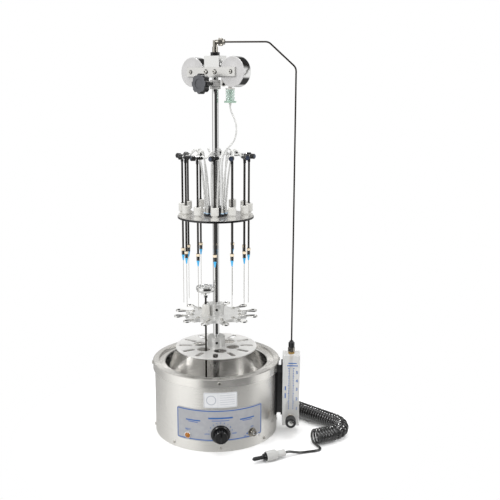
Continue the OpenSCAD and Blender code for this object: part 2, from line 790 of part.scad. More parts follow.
head_az = -43.5;
block_z = rod_top - 32;
block_top = block_z + block_h;
bar_z = block_z + 1.5;
drum_z = bar_z + bar_h / 2;
bar_face = block_d / 2;
axle_r = 4;
drum_half_w = bar_face - 0.5;
clamp_z = block_z - 5 - clamp_h;
star_z = clamp_z + clamp_h * 0.55;
stud_r = 3;
module in_head() {
    rotate([0, 0, head_az]) children();
}

module top_block() {
    bevel = 0.8;
    across_corners = (block_w + block_d) / sqrt(2) - bevel;
    color("#d8d5ce") in_head() difference() {
        translate([0, 0, block_z]) intersection() {
            translate([-block_w / 2, -block_d / 2, 0]) cube([block_w, block_d, block_h]);
            rotate([0, 0, 45]) cube([across_corners, across_corners, 3 * block_h], center = true);
        }
        translate([0, 0, block_z - drill]) cylinder(h = rod_top - block_z + drill + 0.2, d = rod_d + 2 * fit);
        for (side = [-1, 1]) translate([side * bar_screw_x, 0, 0]) forward(block_d, drum_z)
            cylinder(h = 2 * block_d, r = screw_r);
    }
}

// Front and back bar, and the two axles between them
bar_screw_x = 11;
module counterbalance_bars() {
    color("#cfccc6") in_head() {
        for (side = [-1, 1]) difference() {
            translate([-bar_l / 2, side > 0 ? bar_face : -bar_face - bar_t, bar_z])
                cube([bar_l, bar_t, bar_h]);
            for (x = [-drum_spacing / 2, -bar_screw_x, bar_screw_x, drum_spacing / 2])
                translate([x, 0, 0]) forward(2 * block_d, drum_z) cylinder(h = 4 * block_d, r = screw_r);
        }
        for (side = [-1, 1]) translate([side * drum_spacing / 2, 0, 0]) forward(bar_face - seam, drum_z)
            ring(2 * bar_face - 2 * seam, axle_r, screw_r);
    }
}

// Spool with a wound steel band, turning on its axle
module spring_drum(side) {
    half_w = drum_half_w;
    core_r = drum_d / 2 - 3.5;
    in_head() translate([side * drum_spacing / 2, 0, 0]) {
        color("#e9e7e2") forward(half_w, drum_z) difference() {
            cylinder(h = 2 * half_w, r = core_r);
            translate([0, 0, -drill]) cylinder(h = 2 * half_w + 2 * drill, r = axle_r + fit);
            for (z = [-drill, 2 * half_w - 1.2]) translate([0, 0, z])
                ring(1.2 + drill, core_r - 3, axle_r + 4);
        }
        color("#c4c2bd") forward(half_w - 0.6, drum_z)
            ring(2 * half_w - 1.2, drum_d / 2, core_r + fit);
    }
}

module clamp_collar() {
    color("#a8a6a2") in_head() difference() {
        union() {
            translate([0, 0, clamp_z]) cylinder(h = 0.8, d1 = clamp_d - 1.6, d2 = clamp_d);
            translate([0, 0, clamp_z + 0.8]) cylinder(h = clamp_h - 1.6, d = clamp_d);
            translate([0, 0, clamp_z + clamp_h - 0.8]) cylinder(h = 0.8, d1 = clamp_d, d2 = clamp_d - 1.6);
        }
        rod_bore(clamp_z, clamp_h);
        forward(0, star_z) cylinder(h = clamp_d, r = stud_r + fit);
    }
}
module clamp_knob() {
    lobes = 8;
    knob_h = 14;
    base = star_reach - knob_h / 2;
    color("#1c1c1d") in_head() forward(0, star_z) {
        translate([0, 0, rod_d / 2 + 0.2]) cylinder(h = base - rod_d / 2, r = stud_r);
        translate([0, 0, base - 6]) cylinder(h = 7, r1 = star_d * 0.2, r2 = star_d * 0.24);
        translate([0, 0, base]) difference() {
            union() {
                cylinder(h = 1.5, r1 = star_d / 2 - 1.5, r2 = star_d / 2);
                translate([0, 0, 1.5]) cylinder(h = knob_h - 3.5, d = star_d);
                translate([0, 0, knob_h - 2]) cylinder(h = 2, r1 = star_d / 2, r2 = star_d / 2 - 2);
            }
            for (i = [0:lobes - 1]) rotate([0, 0, (i + 0.5) * 360 / lobes])
                translate([star_d / 2 + 1.6, 0, -drill]) cylinder(h = knob_h + 2 * drill, r = 5);
            translate([0, 0, knob_h - 1]) cylinder(h = 2, r = star_d * 0.24);
        }
    }
}

// Clear cup with a green foot, hung from the block by a white elbow
cup_x = 26;
cup_y = 14;
cup_r = 9;
cup_h = 26;
cup_low = block_z - 48;
cup_plan = [
    cup_x * cos(head_az) - cup_y * sin(head_az), cup_x * sin(head_az) + cup_y * cos(head_az)
];
cup_pos = [cup_plan[0], cup_plan[1], cup_low];
module filter_cup() {
    elbow_r = 3.75;
    elbow_z = block_z - 12;
    root = [15, 6.5];
    run = [cup_x - root[0], cup_y - root[1]];
    foot_h = 3.5;
    glass_low = cup_low + foot_h + seam;
    glass_h = cup_h - 4;
    lid_z = glass_low + glass_h + seam;
    color("#f0eee8") in_head() {
        translate([root[0], root[1], elbow_z - elbow_r]) cylinder(h = block_z - elbow_z + elbow_r, r = elbow_r);
        translate([root[0], root[1], elbow_z]) rotate([0, 0, atan2(run[1], run[0])]) rotate([0, 90, 0])
            cylinder(h = norm(run), r = elbow_r - 0.4);
        translate([cup_x, cup_y, lid_z]) {
            cylinder(h = elbow_z + elbow_r - lid_z, r = elbow_r);
            cylinder(h = 2.5, r = cup_r);
        }
    }
    color("#dfe6e4") in_head() translate([cup_x, cup_y, glass_low]) ring(glass_h, cup_r - 0.3, cup_r - 1.8);
    color("#2f7d5b") in_head() translate([cup_x, cup_y, cup_low]) {
        cylinder(h = foot_h, r = cup_r + 2.75);
        cylinder(h = foot_h + glass_h - 1, r = 3);
    }
}

// The supply tube runs from the cup's foot down to the hub
supply_low = [centre_barb[0], centre_barb[1], hub_top + 4.5 + tube_gap];
supply_top = cup_pos + [0, 0, -tube_gap];
supply_curve = [
    [28.6, -7.8, 661], [31, -8, 652], [36, -7.6, 641], [40, -7, 628], [40.5, -6.8, 615], [38, -6.4, 603],
    [33.5, -5.8, 593], [27, -4.8, 586], [21, -3.8, 580], [16.5, -3, 571], [13.8, -2.5, 559],
    [12.8, -2.3, 545], [12.8, -2.3, 525], [12.8, -2.3, 500]
];
module gas_tubing() {
    color("#dfe4e4") {
        for (k = places) swept_tube(loop_route(k), tubing_d, 8);
        swept_tube(concat([supply_top], supply_curve, [supply_low]), tubing_d, 8);
    }
}

// ---------------------------------------------------------------- gas supply

line_z = block_top + 26;
line_bend = 15;
nut_start = 7;
meter_top = meter_z + meter_h;
line_end_z = meter_top + 20;

// Straight stretches with round bends between them, in a plane
function flat_dir(a) = [cos(a), sin(a)];
function heading(a, b) = atan2(b[1] - a[1], b[0] - a[0]);
function bent_route(p, r, n) = [
    p[0],
    for (i = [1:len(p) - 2])
        let (
            a = heading(p[i - 1], p[i]),
            turn = heading(p[i], p[i + 1]) - a,
            centre = p[i] - r * tan(abs(turn) / 2) * flat_dir(a) + r * flat_dir(a - 90)
        )
            for (j = [0:n]) centre + r * flat_dir(a + 90 + turn * j / n),
    p[len(p) - 1]
];
module hex_z(across_corners, h) {
    cylinder(h = h, d = across_corners, $fn = 6);
}
module gas_line() {
    route = [
        [nut_start + 11.3, line_z], [line_bend_r, line_z],
        [line_r, line_z - line_drop], [line_r, line_end_z - 10]
    ];
    upright = [for (q = bent_route(route, line_bend, 5)) [q[0] * cos(line_az), q[0] * sin(line_az), q[1]]];
    color("#bdbbb6") swept_tube(upright, line_d, 12);
    color("#222223") translate([0, 0, block_top]) hex_z(17.6, 7);
    color("#c3bfb2") {
        translate([0, 0, block_top + 7 + seam]) {
            cylinder(h = 10, r = 5.5);
            translate([0, 0, 10]) cylinder(h = 12, r = 4.25);
        }
        outward(line_az, line_z) cylinder(h = nut_start, r = 4.25);
        outward(line_az, line_z) translate([0, 0, nut_start + seam]) difference() {
            union() {
                hex_z(15, 8);
                translate([0, 0, 8]) cylinder(h = 4, r = 5);
            }
            translate([0, 0, 11]) cylinder(h = 4, d = line_d + 2 * fit);
        }
    }
    at_meter(line_r) translate([0, 0, meter_top]) {
        color("#b08b4a") cylinder(h = 3, r = 6.5);
        color("#c3bfb2") translate([0, 0, 3]) {
            cylinder(h = 3, r = 4);
            translate([0, 0, 2]) hex_z(14, 8);
        }
        color("#222223") translate([0, 0, 13 + seam]) difference() {
            union() {
                cylinder(h = 10, r = 6.25, $fn = 12);
                translate([0, 0, 10]) cylinder(h = 4, r1 = 5, r2 = 3.5);
            }
            translate([0, 0, 14 - 10 - seam]) cylinder(h = 20, d = line_d + 2 * fit);
        }
    }
}

meter_r = housing_r + meter_gap + meter_w / 2;
module at_meter(r = meter_r) {
    translate(polar(r, line_az)) rotate([0, 0, meter_turn]) children();
}
gauge_low = meter_z + 46;
gauge_h = 95;
flow_axis_z = meter_z + 16;
flow_shaft_r = 2.5;
meter_inlet_z = 22;
inlet_stub = 8;
module flowmeter_body() {
    bevel = 1;
    color("#d6dadb") at_meter() difference() {
        translate([-meter_w / 2, -meter_d / 2, meter_z]) cube([meter_w, meter_d, meter_h]);
        for (side = [-1, 1]) translate([side * meter_w / 2, -meter_d / 2, meter_z - drill])
            rotate([0, 0, 45]) cube([bevel, bevel, 4 * meter_h], center = true);
        translate([0, 0, gauge_low]) cylinder(h = gauge_h, d = gauge_d);
        forward(0, flow_axis_z) cylinder(h = meter_d, r = flow_shaft_r + fit);
    }
    // brass bushing of the flow valve and the hose inlet at the back
    color("#b08b4a") at_meter() forward(-meter_d / 2 - seam, flow_axis_z) difference() {
        union() {
            hex_z(15, 5);
            translate([0, 0, 5]) cylinder(h = 2.5, r = 5.5);
        }
        translate([0, 0, -drill]) cylinder(h = 10, r = flow_shaft_r + fit);
    }
    color("#b08b4a") at_meter() translate([0, meter_d / 2 + seam, meter_inlet_z]) rotate([-90, 0, 0]) {
        hex_z(12, 4);
        cylinder(h = inlet_stub, r = 3.4);
    }
}
float_r = gauge_d / 2 - 0.6;
module flowmeter_float() {
    color("#2a2a2c") at_meter() translate([0, 0, gauge_low + 0.4]) {
        cylinder(h = 3, r1 = 1, r2 = float_r);
        translate([0, 0, 3]) cylinder(h = 3, r = float_r);
        translate([0, 0, 6]) cylinder(h = 1.5, r1 = float_r, r2 = float_r - 1);
    }
}
module flowmeter_knob() {
    gap = 8;
    knob_l = 18;
    knurls = 24;
    color("#161617") at_meter() forward(-meter_d / 2, flow_axis_z) {
        translate([0, 0, -10]) cylinder(h = gap + 12, r = flow_shaft_r);
        translate([0, 0, gap]) difference() {
            union() {
                cylinder(h = 1, d1 = flow_knob_d - 2, d2 = flow_knob_d);
                translate([0, 0, 1]) cylinder(h = knob_l - 2, d = flow_knob_d);
                translate([0, 0, knob_l - 1]) cylinder(h = 1, d1 = flow_knob_d, d2 = flow_knob_d - 2);
            }
            for (i = [0:knurls - 1]) rotate([0, 0, i * 360 / knurls])
                translate([flow_knob_d / 2 + 0.5, 0, 2]) cylinder(h = knob_l - 4, r = 1, $fn = 16);
            translate([0, 0, knob_l - 0.6]) cylinder(h = 1, d = flow_knob_d - 4);
        }
    }
}

// Side plate on the meter, two webs and a saddle that lies on the housing
saddle_az = -16;
bracket_rise = 22;
bracket_h = 111;
bracket_depth = 26;
web_h = 5;
web_w = 14;
module flowmeter_bracket() {
    plate_low = meter_z + bracket_rise;
    saddle_half = 8;
    saddle_low = plate_low + 1;
    saddle_h = rim_top - rim_skirt_h - web_h - saddle_low;
    saddle_r = housing_r + fit;
    color("#141415") {
        at_meter() translate([-meter_w / 2 - bracket_t - fit, -bracket_depth / 2, plate_low])
            cube([bracket_t, bracket_depth, bracket_h]);
        rotate([0, 0, saddle_az - saddle_half]) translate([0, 0, saddle_low])
            rotate_extrude(angle = 2 * saddle_half) translate([saddle_r, 0]) square([bracket_t, saddle_h]);
        for (z = [saddle_low + 4, saddle_low + saddle_h - 4 - web_h])
            rotate([0, 0, saddle_az]) translate([saddle_r + bracket_t / 2, -web_w / 2, z])
                cube([meter_r - meter_w / 2 - bracket_t - saddle_r, web_w, web_h]);
    }
}

// ---------------------------------------------------------------- hose

// Axis of the coil: a straight leg, a bend to the right and a second leg
coil_start = [162, 50];
coil_heading = -48.5;
leg_one = 123.7;
bend_r = 34;
bend_angle = 111.5;
leg_two = 44;
turns_one = 20;
turns_bend = 7;
turns_two = 7;
coil_r = (coil_d - hose_d) / 2;
coil_z = coil_d / 2 + 0.1;
bend_l = bend_r * bend_angle * PI / 180;
coil_l = leg_one + bend_l + leg_two;
coil_turns = turns_one + turns_bend + turns_two;
rings_per_turn = 8;
bend_centre = coil_start + leg_one * flat_dir(coil_heading) + bend_r * flat_dir(coil_heading - 90);
end_heading = coil_heading - bend_angle;
function axis_heading(s) =
    s < leg_one ? coil_heading
    : s < leg_one + bend_l ? coil_heading - (s - leg_one) / bend_r * 180 / PI
    : end_heading;
function axis_at(s) =
    s < leg_one ? coil_start + s * flat_dir(coil_heading)
    : s < leg_one + bend_l ? bend_centre + bend_r * flat_dir(axis_heading(s) + 90)
    : bend_centre + bend_r * flat_dir(end_heading + 90) + (s - leg_one - bend_l) * flat_dir(end_heading);
// Distance along the axis after a number of turns
function after_turns(n) =
    n < turns_one ? leg_one * n / turns_one
    : n < turns_one + turns_bend ? leg_one + bend_l * (n - turns_one) / turns_bend
    : leg_one + bend_l + leg_two * (n - turns_one - turns_bend) / turns_two;
function side_dir(a) = [cos(a + 90), sin(a + 90), 0];
function coil_point(n) =
    let (s = after_turns(n), c = axis_at(s), side = side_dir(axis_heading(s)))
        [c[0], c[1], coil_z] + coil_r * (sin(360 * n) * side - [0, 0, cos(360 * n)]);
coil_turn_points = [for (i = [0:coil_turns * rings_per_turn]) coil_point(i / rings_per_turn)];
coil_entry = coil_point(0) - hose_d * side_dir(coil_heading);
coil_exit = coil_point(coil_turns) + hose_d * side_dir(end_heading);
coil_route = concat([coil_entry], coil_turn_points, [coil_exit]);

// Least gap between neighbouring turns, measured on the points
coil_gap = min([
    for (i = [0:len(coil_turn_points) - rings_per_turn - 2]) for (j = [rings_per_turn - 1:rings_per_turn + 1])
        norm(coil_turn_points[i + j] - coil_turn_points[i])
]) - hose_d;
echo(least_gap_between_turns = coil_gap);

lie_z = coil_z - coil_r;
meter_back = polar(meter_r, line_az) + (meter_d / 2 + inlet_stub + seam) * plan(90 + meter_turn);
hose_start = [meter_back[0], meter_back[1], meter_inlet_z];
tail_curve = [
    [155.8, -8, 21.4], [156.8, 0, 18], [157, 7, 12], [156.4, 13, 6.4], [155, 20, 3.4],
    [153.2, 27, 2.6], [152.2, 34, 2.5], [152.8, 39.6, 2.5]
];
lead_curve = [
    [194, -126, 2.5], [196, -133, 2.5], [195, -139, 2.5], [190, -143, 2.5], [181, -145.4, 2.5],
    [167, -147.6, 2.5], [154, -150.2, 3], [141, -154.2, 6.6]
];
plug_az = -161;
plug_pos = [121, -161, plug_d / 2];

module hose_tail() {
    lead_in = coil_entry - hose_d * side_dir(coil_heading);
    lead_out = hose_start + hose_d * plan(90 + meter_turn);
    color("#141415") swept_tube(concat([hose_start, lead_out], tail_curve, [lead_in, coil_entry]), hose_d, 8);
}
module hose_coil() {
    color("#141415") swept_tube(coil_route, hose_d, 6);
}
module hose_lead() {
    lead_in = coil_exit + hose_d * side_dir(end_heading);
    before_plug = plug_pos - 2 * hose_d * plan(plug_az);
    color("#141415") swept_tube(concat([coil_exit, lead_in], lead_curve, [before_plug, plug_pos]), hose_d, 8);
}

// Two white sleeves, a black flange and the pin
module hose_plug() {
    flange_r = 6.5;
    pin_r = 2.7;
    small_l = plug_l * 0.26;
    large_l = plug_l * 0.33;
    translate(plug_pos) rotate([0, 0, plug_az]) rotate([0, 90, 0]) {
        color("#eceae4") {
            cylinder(h = small_l, r = plug_d / 3);
            translate([0, 0, small_l - 0.5]) cylinder(h = 1.5, r = plug_d / 4);
            translate([0, 0, small_l + 1]) cylinder(h = 1, r1 = plug_d / 2 - 1, r2 = plug_d / 2);
            translate([0, 0, small_l + 2]) cylinder(h = large_l - 3, d = plug_d);
            translate([0, 0, small_l + large_l - 1]) cylinder(h = 1, r1 = plug_d / 2, r2 = plug_d / 2 - 1);
        }
        color("#161617") translate([0, 0, small_l + large_l + seam]) {
            cylinder(h = 5, r = flange_r);
            cylinder(h = plug_l - small_l - large_l - 2, r = pin_r);
            translate([0, 0, plug_l - small_l - large_l - 2]) cylinder(h = 2, r1 = pin_r, r2 = pin_r - 1);
        }
    }
}

// ---------------------------------------------------------------- fasteners

bar_head_r = 4;
bar_head_h = 4;
axle_head_r = 3.5;
axle_head_h = 3;
bar_shank_l = 9;
rim_shank_l = 6;
low_shank_l = 4;
rim_head_h = 2.6;
low_head_h = 2.2;
module fasteners() {
    color("#b9b6b0") {
        for (i = [0:low_screws - 1]) outward(front_az + i * 360 / low_screws, low_screw_z)
            translate([0, 0, housing_r]) screw(low_screw_head_r, low_head_h, low_shank_l);
        for (i = [0:rim_screws - 1]) outward(rim_screw_az + i * 360 / rim_screws, rim_screw_z)
            translate([0, 0, rim_r]) screw(rim_screw_head_r, rim_head_h, rim_shank_l);
        in_head() for (side = [0, 180]) rotate([0, 0, side]) {
            for (x = [-bar_screw_x, bar_screw_x]) translate([x, 0, 0]) forward(-bar_face - bar_t, drum_z)
                screw(bar_head_r, bar_head_h, bar_shank_l);
            for (x = [-drum_spacing / 2, drum_spacing / 2]) translate([x, 0, 0])
                forward(-bar_face - bar_t, drum_z) screw(axle_head_r, axle_head_h, bar_shank_l);
        }
    }
}

// ---------------------------------------------------------------- the assembly

outer_housing();
bath_well();
base_pan();
control_panel();
pilot_lamp();
heat_knob();
heater_unit();
toggle_bushing();
toggle_lever();
fasteners();
center_rod();
support_plate();
sample_holder();
holder_clips();
thermometer_bushing();
thermometer();
manifold_disk();
gas_hub();
needle_collars();
gas_tubing();
top_block();
counterbalance_bars();
spring_drum(-1);  // left_spring_drum
spring_drum(1);  // right_spring_drum
clamp_collar();
clamp_knob();
gas_line();
filter_cup();
flowmeter_body();
flowmeter_float();
flowmeter_knob();
flowmeter_bracket();
hose_tail();
hose_coil();
hose_lead();
hose_plug();
for (k = places) needle(k);
for (k = places) valve_knob(k);
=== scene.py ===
"""Looks of the nitrogen sample evaporator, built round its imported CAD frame.

Sizes are in millimetres, and mm() turns them into metres where a mesh is made. Angles are in degrees.
"""
from math import asin, atan2, cos, degrees, hypot, pi, radians, sin, sqrt

import bmesh
import bpy
from mathutils import Matrix, Vector


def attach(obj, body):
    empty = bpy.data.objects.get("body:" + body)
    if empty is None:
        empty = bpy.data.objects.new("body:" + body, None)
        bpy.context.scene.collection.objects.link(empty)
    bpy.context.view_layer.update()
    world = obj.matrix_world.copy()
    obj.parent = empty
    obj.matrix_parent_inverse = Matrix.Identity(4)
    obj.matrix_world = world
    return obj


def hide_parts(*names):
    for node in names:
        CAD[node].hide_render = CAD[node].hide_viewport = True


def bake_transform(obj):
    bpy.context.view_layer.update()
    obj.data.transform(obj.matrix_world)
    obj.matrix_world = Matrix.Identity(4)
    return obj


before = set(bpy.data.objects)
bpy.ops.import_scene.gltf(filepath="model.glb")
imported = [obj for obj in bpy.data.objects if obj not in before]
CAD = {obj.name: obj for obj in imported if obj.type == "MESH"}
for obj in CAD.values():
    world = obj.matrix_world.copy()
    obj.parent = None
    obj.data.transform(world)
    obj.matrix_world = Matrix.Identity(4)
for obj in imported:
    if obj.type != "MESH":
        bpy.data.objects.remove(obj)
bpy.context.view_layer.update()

# ---- sizes shared with the CAD source

HOUSING_R, RIM_R, RIM_TOP, WELL_R = 127, 130.5, 150.5, 105
PANEL_R, PANEL_Z, PANEL_H, PANEL_HALF = 128.25, 22.5, 65.5, 41
KNOB_Z, KNOB_SEAT, KNOB_L = 37, 128.65, 17
SWITCH_Z, LAMP_AZ, TOGGLE_AZ = 32, -119.5, -60.5
PLACES, FIRST_AZ, NEEDLE_R = 12, -95.2, 66
PLATE_TOP, HOLDER_TOP, HOLDER_EDGE, DISK_TOP = 176, 245.5, 64, 448.5
BARBS_R, HUB_TOP, HUB_SHIFT, COLLAR_H = 21, 466, 10, 25
CENTRE_BARB = (12.8, -2.3)
VALVE_Z, VALVE_TURN, BARB_REACH, VALVE_BASE, VALVE_KNOB_L = 567, 37, 15, 3.2, 10.5
TUBE_LOW, LUER_LOW, NEEDLE_HUB_LOW, TUBING_D = 382, 368.5, 357, 3.2
HEAD_AZ, BLOCK_Z, BLOCK_TOP, DRUM_Z, DRUM_X = -43.5, 718, 758, 728, 50
PORT_Z, STAR_REACH = 705.2, 42
CUP_X, CUP_Y, CUP_FOOT, CUP_HIGH = 26, 14, 670, 695.5
THERMO_R, THERMO_AZ, DIAL_TOP = 27, -144.5, 306
LINE_R, LINE_AZ, METER_TURN, LINE_Z, LINE_EDGE = 156.5, -15, -8, 784, 1.66
METER_W, METER_D, METER_Z, METER_TOP = 35, 32, 17, 168
HOSE_D, COIL_D, HOSE_Z, TAIL_FITTING = 4.8, 32, 22, 8.02
PLUG_POS, PLUG_AZ, PLUG_D, PLUG_L = (121, -161, 9.75), -161, 19.5, 68
PLUG_SMALL, PLUG_LARGE, PLUG_SPLIT = PLUG_L * 0.26, PLUG_L * 0.33, PLUG_L * 0.59


def mm(v):
    return v * 0.001


def polar(r, az, z=0):
    a = radians(az)
    return Vector((r * cos(a), r * sin(a), z))


def plan(az):
    """Level unit vector that points along az."""
    return polar(1, az)


def place_az(k):
    return FIRST_AZ + k * 360 / PLACES


move = Matrix.Translation


def spin(turn, axis="Z"):
    return Matrix.Rotation(radians(turn), 4, axis)


def scene_object(name, data):
    obj = bpy.data.objects.new(name, data)
    bpy.context.scene.collection.objects.link(obj)
    return obj


# ---- camera

CAMERA_AZ, CAMERA_DIST, CAMERA_H = radians(3.5), 1.5, 0.687
AIM_SIDE, TILT, ROLL = 0.069, radians(11.65), radians(0.3)


def make_camera():
    """A camera with the photograph's place, tilt and lens."""
    right = Vector((cos(CAMERA_AZ), -sin(CAMERA_AZ), 0))
    away = Vector((sin(CAMERA_AZ), cos(CAMERA_AZ), 0))
    pan = atan2(AIM_SIDE, CAMERA_DIST)
    ahead = away * cos(pan) + right * sin(pan)
    right = right * cos(pan) - away * sin(pan)
    look = ahead * cos(TILT) - Vector((0, 0, sin(TILT)))
    up = ahead * sin(TILT) + Vector((0, 0, cos(TILT)))
    x = right * cos(ROLL) + up * sin(ROLL)
    y = up * cos(ROLL) - right * sin(ROLL)
    data = bpy.data.cameras.new("camera")
    data.lens, data.sensor_width = 54.5, 36
    data.clip_start, data.clip_end = 0.05, 50
    camera = scene_object("camera", data)
    camera.matrix_world = Matrix((x, y, -look)).transposed().to_4x4()
    camera.location = -CAMERA_DIST * away + Vector((0, 0, CAMERA_H))
    bpy.context.scene.camera = camera


make_camera()

# ---- meshes

MAT = {}
SMOOTH_BELOW = radians(35)


def mesh_object(name, verts, faces, material, body="root", smooth=True, slot=None):
    """A mesh from points in millimetres, in the material MAT[material], that rides on a CAD body."""
    data = bpy.data.meshes.new(name)
    data.from_pydata([[mm(c) for c in v] for v in verts], [], faces)
    data.validate()
    data.materials.append(MAT[material])
    obj = scene_object(name, data)
    if smooth:
        smooth_by_angle(data)
    if body:
        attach(obj, body)
    return obj


def smooth_by_angle(data):
    """Smooth shading, with the sharp edges kept."""
    bm = bmesh.new()
    bm.from_mesh(data)
    bmesh.ops.recalc_face_normals(bm, faces=bm.faces)
    for e in bm.edges:
        e.smooth = len(e.link_faces) == 2 and e.calc_face_angle(0) < SMOOTH_BELOW
    for f in bm.faces:
        f.smooth = True
    bm.to_mesh(data)
    bm.free()


class Shape:
    """Points and faces gathered into one mesh, each part placed by a matrix."""

    def __init__(self):
        self.verts, self.faces = [], []

    def add(self, verts, faces, place=None):
        start = len(self.verts)
        self.verts += [place @ Vector(v) if place else Vector(v) for v in verts]
        self.faces += [tuple(start + i for i in f) for f in faces]
        return self

    def turn(self, profile, sides, place=None, closed=True):
        return self.add(*lathe(profile, sides, closed), place)

    def make(self, name, material, body="root", smooth=True, slot=None):
        return mesh_object(name, self.verts, self.faces, material, body, smooth, slot)


def turned_piece(name, profile, sides, place, material, body="root", closed=True):
    Shape().turn(profile, sides, place, closed).make(name, material, body)


def frame_of(origin, z_dir, x_dir=(0, 0, -1)):
    """A matrix whose +Z is z_dir and whose +X is as near x_dir as it can be."""
    z = Vector(z_dir).normalized()
    x = Vector(x_dir)
    x = (x - z * x.dot(z)).normalized()
    turn = Matrix((x, z.cross(x), z)).transposed().to_4x4()
    return move(Vector(origin)) @ turn


def outward(az, z, r):
    """Frame on the housing: +Z outward along az, +X down."""
    return frame_of(polar(r, az, z), plan(az))


def band(n, a, b):
    """Faces between two rings of n points that start at a and at b."""
    return [(a + k, a + (k + 1) % n, b + (k + 1) % n, b + k) for k in range(n)]


def lathe(profile, sides, closed):
    """Points and faces of a profile [(r, z)] turned about Z."""
    verts, faces, rows = [], [], []
    for r, z in profile:
        on_axis = abs(r) < 1e-6
        rows.append((len(verts), on_axis))
        for i in range(1 if on_axis else sides):
            a = 2 * pi * i / sides
            verts.append((r * cos(a), r * sin(a), z))
    for (a, a_point), (b, b_point) in zip(rows, rows[1:] + rows[:1] if closed else rows[1:]):
        for i in range(sides):
            j = (i + 1) % sides
            if a_point and not b_point:
                faces.append((a, b + j, b + i))
            elif b_point and not a_point:
                faces.append((a + i, a + j, b))
            elif not a_point:
                faces.append((a + i, a + j, b + j, b + i))
    return verts, faces


def ring_profile(r, z, thick, n=8):
    """Round section of a ring, for a closed lathe."""
    turns = [2 * pi * i / n for i in range(n)]
    return [(r + thick * cos(a), z + thick * sin(a)) for a in turns]


def tube(points, radius, sides=16, capped=True):
    """Points and faces of a round tube along a line. The radius is one number, or one for each point."""
    points = [Vector(p) for p in points]
    radii = radius if isinstance(radius, list) else [radius] * len(points)
    last = len(points) - 1
    verts, faces, normal = [], [], None
    for i, p in enumerate(points):
        t = (points[min(i + 1, last)] - points[max(i - 1, 0)]).normalized()
        if normal is None:
            normal = t.cross(Vector((0, 0, 1)) if abs(t.z) < 0.9 else Vector((1, 0, 0)))
        normal = (normal - t * normal.dot(t)).normalized()
        side = t.cross(normal)
        for k in range(sides):
            a = 2 * pi * k / sides
            verts.append(p + radii[i] * (cos(a) * normal + sin(a) * side))
    for i in range(last):
        faces += band(sides, i * sides, (i + 1) * sides)
    if capped:
        faces.append(tuple(reversed(range(sides))))
        faces.append(tuple(last * sides + k for k in range(sides)))
    return verts, faces


def block(size, bevel, centre=(0, 0, 0)):
    """Points and faces of a box with bevelled edges."""
    bm = bmesh.new()
    bmesh.ops.create_cube(bm, size=1)
    bmesh.ops.scale(bm, vec=size, verts=bm.verts)
    bmesh.ops.bevel(bm, geom=bm.edges[:], offset=bevel, segments=2, profile=0.6, affect="EDGES")
    bmesh.ops.translate(bm, vec=centre, verts=bm.verts)
    verts = [tuple(v.co) for v in bm.verts]
    faces = [tuple(v.index for v in f.verts) for f in bm.faces]
    bm.free()
    return verts, faces


def slab(outline, low, high):
    """Points and faces of a flat outline [(x, y)] given a thickness."""
    n = len(outline)
    verts = [(x, y, z) for z in (low, high) for x, y in outline]
    return verts, [tuple(reversed(range(n))), *band(n, 0, n), tuple(range(n, 2 * n))]


def hexagon(r):
    return [tuple(polar(r, 60 * i))[:2] for i in range(6)]


def bezier(a, b, c, d, t):
    s = 1 - t
    return s**3 * a + 3 * s * s * t * b + 3 * s * t * t * c + t**3 * d


def smooth_line(points, steps):
    """Catmull-Rom curve through points."""
    p = [Vector(q) for q in points]
    p = [2 * p[0] - p[1], *p, 2 * p[-1] - p[-2]]
    line = []
    for a, b, c, d in zip(p, p[1:], p[2:], p[3:]):
        for k in range(steps):
            t = k / steps
            bend = (2 * a - 5 * b + 4 * c - d) * t * t + (3 * b - a - 3 * c + d) * t**3
            line.append(0.5 * (2 * b + (c - a) * t + bend))
    return line + [p[-2]]


def glyphs(text, size):
    """Flat points and faces of a text in Blender's own font, centred on the origin."""
    curve = bpy.data.curves.new("glyphs", "FONT")
    curve.body, curve.size, curve.resolution_u, curve.offset = text, size, 3, 0.03 * size
    curve.align_x, curve.align_y = "CENTER", "CENTER"
    obj = scene_object("glyphs", curve)
    data = bpy.data.meshes.new_from_object(obj.evaluated_get(bpy.context.evaluated_depsgraph_get()))
    points = [tuple(v.co)[:2] for v in data.vertices]
    faces = [tuple(p.vertices) for p in data.polygons]
    bpy.data.objects.remove(obj)
    bpy.data.curves.remove(curve)
    bpy.data.meshes.remove(data)
    return points, faces


